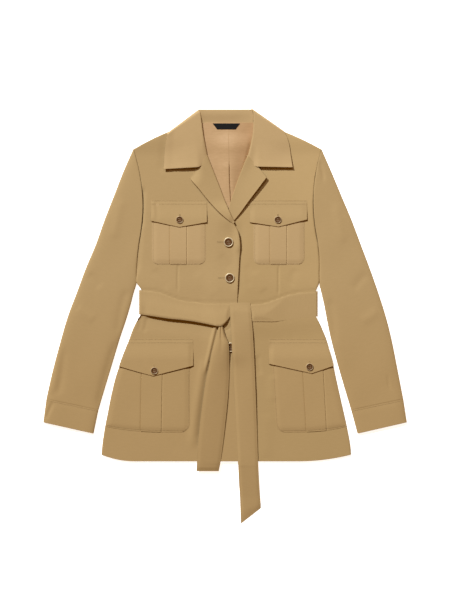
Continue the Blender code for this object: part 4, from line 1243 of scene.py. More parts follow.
@dataclass
class Revers:
    """The two lapels and the collar, rolled over at their inner edges.

    Beside the gorge the left roll turns up softly, and the right one stands up as a crest. At the break
    the left lapel runs into the front edge.
    """

    roll_points: int = 12
    roll_from: float = -60.0
    leaf_points: int = 25
    lapel_rows: int = 56
    collar_rows: int = 6
    grain: float = 30.0
    reach: float = 2.4
    soft_reach: float = 17.6
    tight_reach: float = 0.25
    gorge_y: float = 333.0
    gorge_spread: float = 26.0
    swell: float = 1.6
    swell_ends: Step = Step(58, 28)
    crest: float = 1.8
    crest_width: float = 13.0
    lift_power: float = 1.5
    break_drop: float = 2.0
    break_lift: float = 5.0
    break_lifts: Step = Step(248, 226)
    gorge_drop: float = 2.0
    settled_rows: Step = Step(1.8, 0)
    settles: Step = Step(18, 42)
    settled_at: float = 0.6
    thin: float = 0.4
    thin_at_gorge: Step = Step(8, 0)
    thin_at_break: Step = Step(10, 0)
    gorge_sewn: Step = Step(28, 24)
    tuck_ends: Step = Step(31, 27)
    tuck_least: float = 0.01
    tuck_way: Pair = (0.75, -0.66)
    tuck_rows: tuple[Pair, ...] = ((4.0, -1.1), (2.0, -0.4))
    turned_roll: float = 45.0
    turned_out: float = 0.5
    lies_flat: Step = Step(0.7, 0)
    comes_down: Step = Step(0.3, 1)
    edge_height: float = 2.4
    notch: float = 0.2
    notch_drop: float = 20.0
    point_lifts: Step = Step(0.1, 0.24)
    point_sinks: Step = Step(0.4, 0.8)
    point_sink: float = 0.15
    curl: float = 1.6
    curls: Step = Step(0.78, 1)
    collar_thin: float = 0.7
    collar_thin_rows: float = 9.0
    edge_thins: Step = Step(0.7, 1)
    edge_thin: float = 0.6

    def near_gorge(self, y: float) -> float:
        """Tell how near a row is to the gorge, from 0 to 1."""
        return float(hump(y, self.gorge_y, self.gorge_spread))

    def roll_reach(self, side: Side, y: float) -> float:
        """Tell how far from its inner edge a row still turns up."""
        return self.reach + self.soft_reach * self.near_gorge(y) if side is Side.LEFT else self.tight_reach

    def standing(self, side: Side, y: float, away: Places) -> Array:
        """Give what a row stands up by beside the gorge.

        Args:
            side: Which leaf.
            y: Where the row meets the roll line.
            away: Distances from the roll line.

        Returns:
            Heights over the flat leaf.
        """
        if side is Side.LEFT:
            return self.swell * self.near_gorge(y) * self.swell_ends(away)
        return self.crest * self.near_gorge(y) * hump(away, 0.0, self.crest_width)

    def lapel(self, side: Side) -> Array:
        """Shape a lapel from the gorge down to the break.

        Args:
            side: Which lapel.

        Returns:
            The grid of its outside.
        """
        table, grid = LAPEL[side], []
        angle = np.radians(np.linspace(self.roll_from, 90, self.roll_points))
        share = np.linspace(0, 1, self.leaf_points + 1)[1:]
        for number in np.linspace(0, table.last, self.lapel_rows):
            row = table.row(number)
            inner, outwards, width = chord(row)
            reach = min(self.roll_reach(side, inner[1]), width / 3)
            x, y = inner[:, None] + (outwards / width)[:, None] * reach * (1 - np.cos(angle))
            stand = REST + DOUBLE
            low = LAY.lining(y) + SEAM
            if side is Side.LEFT:
                stand = stand - self.break_drop * float(ease(number - table.last + 1))
                low = low + self.break_lift * self.break_lifts(y)
                low = low - self.gorge_drop * self.near_gorge(inner[1])
            face = LAY.front(side, x, y) + stand + self.standing(side, inner[1], reach)
            rolled = points(x, y, blend(low, face, (1 + np.sin(angle)) / 2))
            along = blend(reach / width, 1.0, share)
            x, y = inner[:, None] + outwards[:, None] * along
            front = LAY.front(side, x, y)
            z = front + stand + row["lift"] * share**self.lift_power
            z = z + self.standing(side, inner[1], along * width)
            if side is Side.LEFT:
                z = blend(z, front + self.settled_at, self.settled_rows(number) * self.settles(along * width))
            leaf = np.concatenate([rolled, points(x, y, z)])
            grid.append(leaf[:: -int(side.inward)])
        return np.array(grid[::-1])

    def tucks(self, edge: Array) -> list[Array]:
        """Carry the collar on under the lapels, from the roll to the notch on each side.

        Args:
            edge: The collar's end row, from the roll line to its point.

        Returns:
            Further rows, outermost first.
        """
        first = self.roll_points // 2 - 1
        distance = np.hypot(*(edge - edge[first])[:, :2].T)
        under = self.tuck_ends(distance) * (np.arange(len(edge)) > first)
        hidden = blend(self.tuck_least, 1.0, under)[:, None]
        across, along = self.tuck_way
        across = math.copysign(across, edge[0, 0] - edge[-1, 0])
        return [edge + hidden * (across * reach, along * reach, drop) for reach, drop in self.tuck_rows]

    def collar(self) -> Array:
        """Shape the collar: a leaf over each front, joined behind the neck.

        Returns:
            The grid of its outside.
        """
        grid = []
        share = np.linspace(0, 1, self.leaf_points + 1)[1:]
        leaf = np.concatenate([np.zeros(self.roll_points), share])
        for number in np.linspace(0, COLLAR.last, COLLAR.last * self.collar_rows + 1):
            row = COLLAR.row(number)
            inner, chord_way, width = chord(row)
            side = Side.LEFT if inner[0] < CENTRE else Side.RIGHT
            reach = self.roll_reach(side, inner[1]) / width
            turn = math.radians(min(180.0, max(0.0, row["turn"])))
            flat = self.lies_flat(turn)
            outwards = np.array([-chord_way[1], chord_way[0]]) / width * -side.inward
            roll_from = self.roll_from + self.turned_roll * ease(turn / math.pi)
            angle = np.radians(np.linspace(roll_from, 90, self.roll_points))
            along = np.concatenate([reach * (1 - np.cos(angle)), blend(reach, 1.0, share)])
            rise = np.concatenate([np.sin(angle), np.ones_like(share)])
            height = row["half"] * rise
            plan = inner[:, None] + chord_way[:, None] * along
            plan = plan + outwards[:, None] * height * math.sin(turn) * self.turned_out
            notched = np.interp(along, (0, self.notch, 1), (0, 1, 0)) * max(0.0, row["notch"])
            plan[1] -= self.notch_drop * notched
            z = row["mid"] + height * math.cos(turn)
            z = blend(z, LAY.front(side, *plan) + self.edge_height, self.comes_down(leaf) * flat)
            raised = self.point_lifts(along) * (1 - self.point_sink * self.point_sinks(along))
            z = z + max(0.0, row["lift"]) * raised
            if side is Side.LEFT:
                z = z + self.curl * self.curls(along) * flat
            else:
                z = z + self.standing(side, inner[1], along * width) * np.clip(rise, 0, 1)
            grid.append(points(*plan, z))
        grid = [*self.tucks(grid[0]), *grid, *self.tucks(grid[-1])[::-1]]
        return np.array(grid[::-1])

    def lapel_thickness(self, side: Side, leaf: Array) -> Array:
        """Give a lapel's thickness, thinner where it is sewn to the collar or runs into the front.

        Args:
            side: Which lapel.
            leaf: The grid of its outside.

        Returns:
            The thickness at each row, and across it where that changes.
        """
        rows = np.arange(len(leaf))[:, None]
        near = self.thin_at_gorge(rows[::-1])
        if side is Side.LEFT:
            return blend(blend(DOUBLE, self.thin, near), self.thin, self.thin_at_break(rows))
        gorge = leaf[-1, :, :2]
        return blend(DOUBLE, self.thin, near * self.gorge_sewn(np.hypot(*(gorge - gorge[0]).T)))

    def build(self) -> None:
        """Make both lapels and the collar."""
        for side in Side:
            name, leaf = side.value, self.lapel(side)
            deep, turn = self.lapel_thickness(side, leaf), self.grain * side.inward
            Cloth(f"lapel_{name}", leaf, f"front_{name}_cloth", thickness=deep, grain=turn).build()
        leaf = self.collar()
        near = ease(np.arange(len(leaf)) / self.collar_thin_rows)
        deep = blend(self.collar_thin, DOUBLE, np.minimum(near, near[::-1]))[:, None]
        outwards = (np.arange(leaf.shape[1]) - self.roll_points) / self.leaf_points
        deep = deep * (1 - self.edge_thin * self.edge_thins(outwards))
        # The collar is a shade paler: painted light
        Cloth("collar", leaf, "front_left_cloth", PAINTED_LIGHTER_TWILL, deep).build()


@dataclass
class Neck:
    """What shows in the neck opening: collar stand, lining and blank label.

    The lining has a pleat down the middle of the back, a step beside a fold that slants a little. It is
    full in the middle and opens into a slit lower down. The stand's edges follow the collar's roll.
    """

    seam_y: float = 406.0
    lining_rows: int = 60
    lining_over: float = 0.5
    half_columns: int = 24
    fold_at: Pair = (6.9, 383.0)
    fold_slants: float = 0.0224
    fold_bends: Pair = (276.0, 0.045)
    beside_fold: tuple[float, ...] = (0.0, 0.5, 1.0, 1.6)
    clear_of_fold: Pair = (-0.8, 2.4)
    pleat: float = 0.4
    pleat_opens: Step = Step(330, 310)
    pleat_starts: Step = Step(395, 375)
    pleat_step: Step = Step(0.9, 0)
    pleat_rises: Step = Step(-26, -2)
    slit: float = 1.5
    slit_at: Pair = (0.9, 1.0)
    full: float = 6.4
    full_width: float = 80.0
    fills: Step = Step(390, 350)
    crown: Pair = (6.0, 8.0)
    crown_least: float = 4.0
    falls_late: Step = Step(0.7, 1)
    ripple: float = 0.12
    ripple_lengths: Pair = (7.0, 31.0)
    ripples: Step = Step(400, 370)
    stand_rows: tuple[float, float, int] = (-0.7, 433.0, 18)
    stand_edge: tuple[float, ...] = (433.8, 434.3)
    stand_columns: int = 48
    stand_low: float = 0.9
    stand_rise: float = 2.3
    stand_rises: float = 22.0
    stand_turn: float = 0.5
    stand_turns: Step = Step(432.6, 434.6)
    stand_left: Pair = (0.8, 12.0)
    stand_right: float = 1.8
    stand_right_sinks: Step = Step(0.1, 1)
    stand_thin: float = 0.5
    stand_thin_rows: float = 6.0
    label_y: Pair = (393.0, 405.0)
    label_x: float = 2.8
    label_half: Pair = (19.3, 28.5)
    label_grid: tuple[int, int] = (8, 24)

    def lining(self) -> Array:
        """Shape the lining.

        Returns:
            The grid of its outside.
        """
        grid = []
        before, after = self.clear_of_fold
        crown_from, crown_to = self.crown
        bend_y, bend = self.fold_bends
        across, along = self.ripple_lengths
        for y in np.linspace(NECK_LINING["y"][-1], self.seam_y + self.lining_over, self.lining_rows):
            left, right = (float(NECK_LINING.at(side.value, y)) for side in Side)
            fold = self.fold_at[0] + (self.fold_at[1] - y) * self.fold_slants + max(0.0, bend_y - y) * bend
            x = np.concatenate(
                [
                    np.linspace(left, fold + before, self.half_columns),
                    fold + np.array(self.beside_fold),
                    np.linspace(fold + after, right, self.half_columns),
                ]
            )
            away = x - fold
            opened = self.pleat_opens(y)
            step = self.pleat_step(away) * self.pleat_rises(away) * self.pleat_starts(y)
            step = step * (self.pleat + opened)
            slit = self.slit * hump(away, *self.slit_at) * opened
            right_share = (away - crown_from) / max(self.crown_least, right - fold - crown_from)
            fall = (ease(right_share) + self.falls_late(right_share)) / 2
            swell = ease((x - left) / (fold + crown_to - left)) - fall
            ripple = self.ripple * np.sin(x / across + y / along) * self.ripples(y)
            full = self.full * min(1.0, (right - left) / self.full_width) * self.fills(y)
            grid.append(points(x, y, LAY.lining(y) + step + ripple - slit + full * swell))
        return np.array(grid)

    def stand(self) -> Array:
        """Shape the collar stand.

        Returns:
            The grid of its outside.
        """
        grid = []
        level = LAY.belt_lift + CLOTH + SEAM + self.stand_low
        roll_y = COLLAR["inner_y"][ROLL_LEFT]
        roll_left, roll_right = (COLLAR["inner_x"][roll] for roll in (ROLL_LEFT, ROLL_RIGHT))
        below, last, count = self.stand_rows
        lift, power = self.stand_left
        u = np.linspace(-1, 1, self.stand_columns)
        for y in (*np.linspace(self.seam_y + below, last, count), *self.stand_edge):
            left = np.interp(y, roll_y, roll_left) + SEAM
            right = np.interp(y, roll_y, roll_right) - SEAM
            up = float(ease((y - self.seam_y) / self.stand_rises))
            z = level + self.stand_rise * up - self.stand_turn * self.stand_turns(y)
            z = z + lift * np.clip(-u, 0, 1) ** power - self.stand_right * up * self.stand_right_sinks(u)
            grid.append(points(blend(left, right, (1 + u) / 2), y, z))
        return np.array(grid)

    def label(self) -> Array:
        """Shape the label.

        Returns:
            The grid of its outside.
        """
        rows, columns = self.label_grid
        grid = []
        for share in np.linspace(0, 1, rows):
            y = blend(*self.label_y, share)
            x = self.label_x + blend(*self.label_half, share) * np.linspace(-1, 1, columns)
            grid.append(points(x, y, LAY.lining(y) + SEAM + LABEL_TAPE))
        return np.array(grid)

    def build(self) -> None:
        """Make the stand, the lining and the label."""
        stand = self.stand()
        deep = blend(self.stand_thin, CLOTH, ease(np.arange(len(stand)) / self.stand_thin_rows))[:, None]
        # The stand is a shade paler: painted light
        Cloth("collar_stand", stand, "back_cloth", PAINTED_LIGHTER_TWILL, deep).build()
        Cloth("neck_lining", self.lining(), "back_cloth", SATIN, LINING).build()
        Cloth("neck_label", self.label(), "neck_lining_cloth", TAPE, LABEL_TAPE).build()


@dataclass
class Flap:
    """A pocket flap sewn along its top edge, with a pointed lower edge.

    The corners are the heights of its left and right lower corners, and the dips are how far its left
    and right edges lie down. A hip flap reaches its side seam.
    """

    node: str
    side: Side
    edges: Pair
    top: float
    corners: Pair
    point: Pair
    reaches_side: bool
    dips: Pair
    creases: tuple[Crease, ...] = ()
    sewn_at: float = 0.3
    sewn_lift: float = 0.4
    sewn_lifts: Step = Step(0, 8)
    over: float = 3.2
    goes_over: Step = Step(0, 44)
    edge_lift: float = 0.3
    dip_near: Step = Step(12, 0)
    dips_down: Step = Step(0, 24)
    dip_eases: float = 0.3
    sewn_rows: Pair = (0.9, 7.6)
    thin: float = 0.5
    thickens: float = 40.0
    column_step: float = 2.4
    rows: int = 28

    def outside(self, x: Array, down: Array, share: Places) -> Array:
        """Give points of the flap's outside.

        Args:
            x: Plan positions across, along the top edge.
            down: Distances below the top edge.
            share: Shares of the way to the lower edge.

        Returns:
            The points.
        """
        y = self.top - down
        out = self.sewn_at + self.sewn_lift * self.sewn_lifts(down) + self.over * self.goes_over(down)
        out = out + self.edge_lift * share**3 + sum(crease.height(x, y) for crease in self.creases)
        for edge, dip in zip(self.edges, self.dips):
            near = self.dip_near(np.abs(x - edge))
            out = out - dip * near * self.dips_down(down) * (1 - self.dip_eases * share**2)
        if self.reaches_side:
            seam = LAY.side_x(self.side, y) + self.side.inward * LAY.side_inset
            outer, point = self.edges[self.side.number], self.point[0]
            stretched = blend(point, seam, (x - point) / (outer - point))
            x = np.where((point - x) * self.side.inward > 0, stretched, x)
        return LAY.on_front(self.side, x, y, out)

    def build(self, sewing: Sewing) -> None:
        """Make the flap and its two rows of stitches.

        Args:
            sewing: Takes the rows of stitches.
        """
        left, right = self.edges
        columns = np.linspace(left, right, int((right - left) / self.column_step))
        x = np.unique(np.append(columns, self.point[0]))
        low = np.interp(x, (left, self.point[0], right), (self.corners[0], self.point[1], self.corners[1]))
        shares = np.linspace(1.0, 0.0, self.rows)
        grid = np.array([self.outside(x, (self.top - low) * share, share) for share in shares])
        deep = blend(self.thin, CLOTH, ease((self.top - grid[..., 1]) / self.thickens))
        pocket = self.node.replace("flap", "pocket")
        cloth = Cloth(self.node, grid, f"{pocket}_cloth", thickness=deep).build()
        for down in self.sewn_rows:
            line = self.outside(x[1:-1], np.full_like(x[1:-1], down), 0.0)
            sewing.paths.append(line + (0, 0, cloth.thread_out))


@dataclass
class Pocket:
    """A patch pocket with a box pleat and a flap.

    The pocket's edges and pleat folds are given at its top and bottom. The outer edge of a hip pocket
    is its side seam, and rises by the given amount there.
    """

    node: str
    side: Side
    bottom: float
    top: float
    corner: float
    left: Pair | None
    right: Pair | None
    folds: tuple[Pair, Pair]
    flap: Flap
    finish: Finish
    rise: float = 0.0
    gap: float = 0.1
    puff: float = 0.4
    puffs: float = 30.0
    pleat: float = 0.6
    groove: float = 0.9
    groove_width: float = 1.1
    comes_out: Step = Step(6, 44)
    hem: float = 0.4
    hem_width: float = 11.0
    hidden: float = 0.4
    step: float = 2.4
    fewest: int = 5
    corner_rows: int = 9
    beside_fold: tuple[float, ...] = (0.1, 0.35, 1.0)
    clear_of_fold: float = 2.0

    def rows(self) -> list[Pair]:
        """List the rows from the bottom up.

        Returns:
            Height, and how far the rounded corner draws the edge in.
        """
        angle = np.linspace(0, math.pi / 2, self.corner_rows)
        round_rows = zip(self.bottom + self.corner * (1 - np.cos(angle)), self.corner * (1 - np.sin(angle)))
        straight = np.arange(self.bottom + self.corner + self.step, self.top, self.step)
        return [*round_rows, *((float(y), 0.0) for y in straight), (self.top, 0.0)]

    @property
    def counts(self) -> list[int]:
        """Count the columns before, on and after the pleat, from the widths half-way down.

        Returns:
            The three counts.
        """
        middle = float(LAY.side_x(self.side, (self.bottom + self.top) / 2))
        places = [np.mean(end) if end else middle for end in (self.left, *self.folds, self.right)]
        return [max(self.fewest, int(width / self.step)) for width in np.diff(places)]

    def columns(self, left: float, right: float, folds: list[float]) -> tuple[Array, Array]:
        """List the columns across one row.

        Args:
            left: The row's left end.
            right: The row's right end.
            folds: The pleat's two folds.

        Returns:
            Plan positions, and how far each is up on the pleat.
        """
        before, on, after = self.counts
        close, clear = np.array(self.beside_fold), self.clear_of_fold
        first = np.append(np.linspace(left, folds[0] - clear, before), folds[0] - close[::-1])
        last = np.append(folds[1] + close, np.linspace(folds[1] + clear, right, after))
        inner = np.linspace(folds[0] + close[-1], folds[1] - close[-1], on)
        pleat = np.concatenate([folds[0] + close[:-1], inner, folds[1] - close[-2::-1]])
        up = np.repeat([0.0, 1.0, 0.0], [len(first), len(pleat), len(last)])
        return np.concatenate([first, pleat, last]), up

    def build(self, sewing: Sewing) -> None:
        """Make the pocket, its flap and their stitches.

        Args:
            sewing: Takes the rows of stitches.
        """
        grid, deep = [], []
        for y, inset in self.rows():
            down = (self.top - y) / (self.top - self.bottom)
            lift = self.rise * down**3
            seam = float(LAY.side_x(self.side, y + lift)) + self.side.inward * LAY.side_inset
            left = blend(*self.left, down) + inset if self.left else seam
            right = blend(*self.right, down) - inset if self.right else seam
            folds = [blend(*fold, down) for fold in self.folds]
            x, up = self.columns(left, right, folds)
            share = (x - left) / (right - left)
            outwards = share if self.left else 1 - share
            edge = np.minimum(np.minimum(x - left, right - x), y - self.bottom)
            shown = self.comes_out(self.flap.top - y)
            thin = blend(self.hem, CLOTH, ease(edge / self.hem_width) * blend(self.hidden, 1.0, shown))
            beside = sum(hump(x, fold, self.groove_width) for fold in folds) * (1 - up)
            puff = self.puff * np.sin(np.pi * share) * ease((y - self.bottom) / self.puffs)
            out = self.gap + thin + (puff + self.pleat * up - self.groove * beside) * shown
            deep.append(thin)
            grid.append(LAY.on_front(self.side, x, y + lift * outwards**3, out))
        cloth = Cloth(self.node, grid, f"front_{self.side.value}_cloth", self.finish, np.array(deep)).build()
        sewn = [(slice(2, None), column) for column, end in ((1, self.left), (-2, self.right)) if end]
        sewing.paths += [cloth.line(*place) for place in (*sewn, (3, slice(1, -1)))]
        self.flap.build(sewing)


def chest_pocket(side: Side) -> Pocket:
    """Size a chest pocket and its flap.

    Args:
        side: Which one.

    Returns:
        The pocket.
    """
    name, flap_top, half_pleat = side.value, 243.6, 17.0
    if side is Side.LEFT:
        left, right, pleat = -153.3, -41.0, -98.0
        curl = creases((-151, 246, -148.5, 200, 4.5, 0.6), (-144, 246, -142, 202, 4.0, -0.5))
        edges, corners, point, dips = (-155.4, -38.2), (201.0, 198.0), (-96.0, 187.7), (0.4, 0.9)
    else:
        left, right, pleat = 59.9, 166.5, 112.0
        curl = ()
        edges, corners, point, dips = (51.8, 171.8), (198.0, 203.6), (112.0, 188.6), (1.8, 0.9)
    flap = Flap(f"chest_flap_{name}", side, edges, flap_top, corners, point, False, dips, curl)
    return Pocket(
        f"chest_pocket_{name}",
        side,
        bottom=109.4,
        top=236.0,
        corner=14.0,
        left=(left, left),
        right=(right, right),
        folds=((pleat - half_pleat,) * 2, (pleat + half_pleat,) * 2),
        flap=flap,
        # The chest pockets are a shade paler: painted light
        finish=PAINTED_LIGHTER_TWILL,
    )


def hip_pocket(side: Side) -> Pocket:
    """Size a hip pocket and its flap.

    Args:
        side: Which one.

    Returns:
        The pocket.
    """
    name, flap_top = side.value, -47.5
    seam = float(LAY.side_x(side, flap_top)) + side.inward * LAY.side_inset
    if side is Side.LEFT:
        left, right, folds = None, (-74.5, -74.5), ((-173.7, -177.0), (-131.0, -134.4))
        edges, corners, point, dips = (seam, -67.0), (-104.6, -103.0), (-150.8, -124.5), (0.0, 2.0)
    else:
        left, right, folds = (96.6, 107.5), None, ((160.7, 171.4), (202.7, 212.4))
        edges, corners, point, dips = (92.0, seam), (-99.0, -103.5), (181.7, -119.0), (2.0, 0.0)
    return Pocket(
        f"hip_pocket_{name}",
        side,
        bottom=-242.6,
        top=-60.0,
        corner=19.0,
        left=left,
        right=right,
        folds=folds,
        flap=Flap(f"hip_flap_{name}", side, edges, flap_top, corners, point, True, dips),
        finish=TWILL,
        rise=12.0,
    )


@dataclass
class Belt:
    """The cloth belt, round the waist and tied in front.

    Each half goes from the knot across the front, round the side and a little under the back. Edges
    that lie flat are pressed thin. The tails are thin along their edges and at their ends.
    """

    thickness: float = 2.0
    front_thickness: float = 1.6
    thin: float = 0.2
    low: float = 2.0
    high: float = 53.0
    turns_at: Pair = (-180.6, 194.4)
    back_ends: Pair = (-148.0, 163.0)
    back_grid: tuple[int, int] = (60, 16)
    columns: int = 24
    front_rows: int = 70
    turn_from: float = 80.0
    turn_rows: int = 14
    under_rows: int = 8
    rests: Pair = (-0.15, REST + 0.05)
    presses_up: Step = Step(0.3, 1)
    presses_down: Step = Step(0.3, 0)
    lower_edge: float = 0.5
    right_by_knot: Step = Step(62, 54)
    right_by_side: Step = Step(75, 135)
    left_by_knot: Step = Step(1, 10)
    row_steps: int = 6
    tail_edge: Pair = (0.5, 0.15)
    tail_end: Pair = (0.3, 9.0)
    tail_leaves: Step = Step(29, 7)
    groove_at: Pair = (0.52, 0.13)
    wave: float = 0.25
    wave_along: float = 29.0
    wave_across: float = 2.0
    waves: Step = Step(2, 6)

    def thick(self, side: Side, x: float, share: Array) -> Array:
        """Give the thickness of half the belt.

        Args:
            side: Which half.
            x: Plan position across the jacket.
            share: 0 at the lower edge to 1 at the upper one.

        Returns:
            The thickness at each share.
        """
        pressed = self.presses_up(share)
        if side is Side.RIGHT:
            pressed = np.maximum(pressed, self.lower_edge * self.presses_down(share))
            pressed = np.maximum(pressed, max(self.right_by_knot(x), self.right_by_side(x)))
        else:
            pressed = np.maximum(pressed, self.left_by_knot(x))
        return blend(self.front_thickness, self.thin, pressed)

    def half(self, side: Side) -> tuple[Array, Array]:
        """Shape half of the belt.

        Args:
            side: Which half.

        Returns:
            The grid of its outside, and its thickness.
        """
        table, share = BELT[side], np.linspace(0, 1, self.columns)
        grid = []
        for x in np.linspace(table["x"][-1], table["x"][0], self.front_rows):
            low, high, lift = (float(table.at(name, x)) for name in ("low", "high", "lift"))
            y = blend(low, high, share)
            thick = self.thick(side, x, share)
            rest = blend(*self.rests, (thick - self.thin) / (self.front_thickness - self.thin))
            z = LAY.front(side, np.full_like(y, x), y) + rest + thick + lift * (1 - share) ** 2
            grid.append(points(x, y, z))
        turn_x = self.turns_at[side.number]
        y = blend(table["low"][0], table["high"][0], share)
        crown = grid[-1][:, 2]
        reach = side.inward * abs(turn_x - table["x"][0])
        for angle in np.radians(np.linspace(self.turn_from, -90, self.turn_rows)):
            x = turn_x + reach * (1 - math.cos(angle))
            grid.append(points(x, y, crown / 2 * (1 + math.sin(angle))))
        start, end = turn_x + reach, self.back_ends[side.number] - side.inward * SEAM
        level = blend(self.low, self.high, share)
        for part in np.linspace(0, 1, self.under_rows)[1:]:
            grid.append(points(blend(start, end, part), blend(y, level, part), 0.0))
        order = int(side.inward)
        deep = np.array([self.thick(side, row[0, 0], share) for row in grid])
        return np.array(grid)[:, ::order], deep[:, ::order]

    def tail_thickness(self, rows: Array) -> Array:
        """Give a tail's thickness, thin also where the long one leaves the belt.

        Args:
            rows: The heights of its rows along the jacket, from the knot to the end.

        Returns:
            The thickness for each row and column.
        """
        share = np.linspace(0, 1, self.columns)
        (edge, edge_width), (end, end_length) = self.tail_edge, self.tail_end
        edges = blend(edge, 1.0, ease(np.minimum(share, 1 - share) / edge_width))
        ends = blend(end, 1.0, ease((rows - rows[-1]) / end_length))
        return (blend(self.thin, self.thickness, self.tail_leaves(rows)) * ends)[:, None] * edges

    def tail(self, table: Table, tip: float | None) -> tuple[Array, Array]:
        """Shape a hanging end, arched where the cloth is gathered.

        Args:
            table: Sections along its length.
            tip: How far down the left corner of a slanted end reaches.

        Returns:
            The grid of its outside, and its thickness.
        """
        share, grid = np.linspace(0, 1, self.columns), []
        numbers = np.linspace(0, table.last, table.last * self.row_steps + 1)
        thickness = self.tail_thickness(table.at("y", numbers, "row"))
        for number, thick in zip(numbers, thickness):
            row = table.row(number)
            x = blend(row["left"], row["right"], share)
            y = np.full_like(x, row["y"])
            if tip is not None:
                slant = max(0.0, number - table.last + 1)
                y = y + (tip - table["y"][-1]) * slant * (1 - share)
            gathered = max(0.0, row["arch"]) * arch(share)
            groove = max(0.0, row["groove"]) * hump(share, *self.groove_at)
            under = np.maximum(0.0, blend(row["under_left"], row["under_right"], share))
            wave = self.wave * np.sin(y / self.wave_along + self.wave_across * share) * self.waves(under)
            grid.append(points(x, y, under + thick + gathered - groove + wave)[::-1])
        return np.array(grid), thickness

    def build(self) -> None:
        """Make the five lengths of belt."""
        for side in Side:
            half, deep = self.half(side)
            Cloth(f"belt_{side.value}", half, f"front_{side.value}_cloth", thickness=deep, grain=90).build()
        rows, columns = self.back_grid
        y = np.linspace(self.high, self.low, columns)
        behind = [points(x, y, 0.0) for x in np.linspace(*self.back_ends, rows)[::-1]]
        Cloth("belt_back", behind, "floor", thickness=self.thickness, grain=90).build()
        for name, table, tip, cut, finish in (
            ("long", LONG_TAIL, LONG_TAIL_TIP, None, TWILL),
            # The short end is a darker copy of the twill: painted shade
            ("short", SHORT_TAIL, None, SHORT_TAIL_CUT, PAINTED_DARKER_TWILL),
        ):
            tail, deep = self.tail(table, tip)
            Cloth(f"belt_tail_{name}", tail, "front_left_cloth", finish, deep, cut=cut).build()


@dataclass
class Button:
    """A dished disc, set in a metal rim and sewn on with two threads.

    The dish is its profile from the middle of its face round to the middle of its back, as shares of the
    disc's radius and the button's height. The band is the rim's profile from the top of its inner side,
    as shares of its width, millimetres beyond that, and shares of the height.
    """

    name: str
    at: Pair
    base: float
    radius: float
    height: float
    rim: float
    plate: Finish = GOLD
    sides: int = 40
    dish: tuple[Pair, ...] = (
        *((0, 0.6), (0.3, 0.6), (0.62, 0.63), (0.7, 0.74), (0.86, 0.86), (0.95, 0.86)),
        *((1, 0.8), (1, 0), (0, 0)),
    )
    band: tuple[tuple[float, float, float], ...] = (
        *((0, 0, 0.86), (0, 0.3, 0.95), (0.5, 0, 1), (1, -0.25, 0.92), (1, 0, 0.75), (1, 0, 0.15)),
        *((1, -0.4, 0), (0, 0, 0)),
    )
    thread_reach: float = 0.28
    thread_level: float = 0.66

    def turned(self, name: str, profile: list[Pair], closed: bool) -> Object:
        """Turn a profile round the button's axis.

        Args:
            name: The object's name.
            profile: Radius and height, from the top down the outer side.
            closed: Whether the profile joins up; otherwise it starts and ends on the axis.

        Returns:
            The turned object.
        """
        inner = np.array(profile if closed else profile[1:-1])
        angle = np.linspace(0, 2 * math.pi, self.sides, endpoint=False)[:, None]
        r, z = inner.T
        corners = points(self.at[0] + r * np.cos(angle), self.at[1] + r * np.sin(angle), self.base + z)
        corners = corners.reshape(-1, 3)
        n, faces = len(inner), []
        top = len(corners)
        for s in range(self.sides):
            here, after = s * n, (s + 1) % self.sides * n
            for i in range(n if closed else n - 1):
                j = (i + 1) % n
                faces.append((here + i, here + j, after + j, after + i))
            if not closed:
                faces += [(top, here, after), (top + 1, after + n - 1, here + n - 1)]
        if not closed:
            axis = [(*self.at, self.base + profile[end][1]) for end in (0, -1)]
            corners = np.concatenate([corners, axis])
        return mesh_object(name, corners, faces)

    def build(self, sewing: Sewing) -> None:
        """Make the disc, the rim and the threads.

        Args:
            sewing: Takes the threads.
        """
        inside = self.radius - self.rim
        disc = inside - SEAM
        dish = [(share * disc, level * self.height) for share, level in self.dish]
        adopt(self.turned(f"button_{self.name}_disc", dish, False), HORN, f"button_{self.name}")
        band = [(inside + share * self.rim + more, level * self.height) for share, more, level in self.band]
        adopt(self.turned(f"button_{self.name}_band", band, True), self.plate, f"button_rim_{self.name}")
        reach = self.thread_reach * disc
        x = self.at[0] + reach * np.array([-1, 0, 1])
        for y in (self.at[1] - reach, self.at[1] + reach):
            sewing.paths.append(points(x, y, self.base + self.thread_level * self.height))


@dataclass
class Fastenings:
    """All the buttons, with their threads and buttonholes.

    A front buttonhole lies across, and a flap's lies upright. Both start under the button.
    """

    front: tuple[Pair, ...] = ((7.4, 156.0), (9.9, 80.9), (11.5, -64.5))
    flaps: tuple[tuple[str, Side, float, float], ...] = (
        ("chest", Side.LEFT, -95.3, 203.1),
        ("chest", Side.RIGHT, 110.9, 203.1),
        ("hip", Side.LEFT, -148.3, -113.6),
        ("hip", Side.RIGHT, 177.5, -105.6),
    )
    gap: float = 0.2
    flap_level: float = 4.0
    half_hole: float = 1.1
    hole_level: float = 0.1
    front_hole: tuple[float, float, int] = (-24.0, -4.0, 20)
    flap_hole: tuple[float, float, int] = (0.0, 12.0, 14)

    def build(self) -> None:
        """Make every button, thread and visible buttonhole."""
        threads = Sewing("button_threads", pitch=1.2, stitch=1.6, thread=0.7, finish=PALE_THREAD)
        holes = Sewing("buttonholes", pitch=0.5, stitch=1.5, thread=0.22, across=True)
        start, end, count = self.front_hole
        for number, (x, y) in enumerate(self.front, 1):
            base = float(LAY.front(Side.LEFT, x, y)) + self.gap
            Button(f"front_{number}", (x, y), base, radius=10.0, height=3.0, rim=2.2).build(threads)
            along = np.linspace(x + start, x + end, count)
            for beside in (y - self.half_hole, y + self.half_hole):
                level = LAY.front(Side.LEFT, along, beside) + self.hole_level
                holes.paths.append(points(along, beside, level))
        start, end, count = self.flap_hole
        for kind, side, x, y in self.flaps:
            base = float(LAY.front(side, x, y)) + self.flap_level + self.gap
            name = f"{kind}_{side.value}"
            Button(name, (x, y), base, radius=7.5, height=2.4, rim=1.0, plate=DULL_PLATE).build(threads)
            along = np.linspace(y + start, y + end, count)
            for beside in (x - self.half_hole, x + self.half_hole):
                level = LAY.front(side, beside, along) + self.flap_level
                holes.paths.append(points(beside, along, level))
        threads.build()
        holes.build()


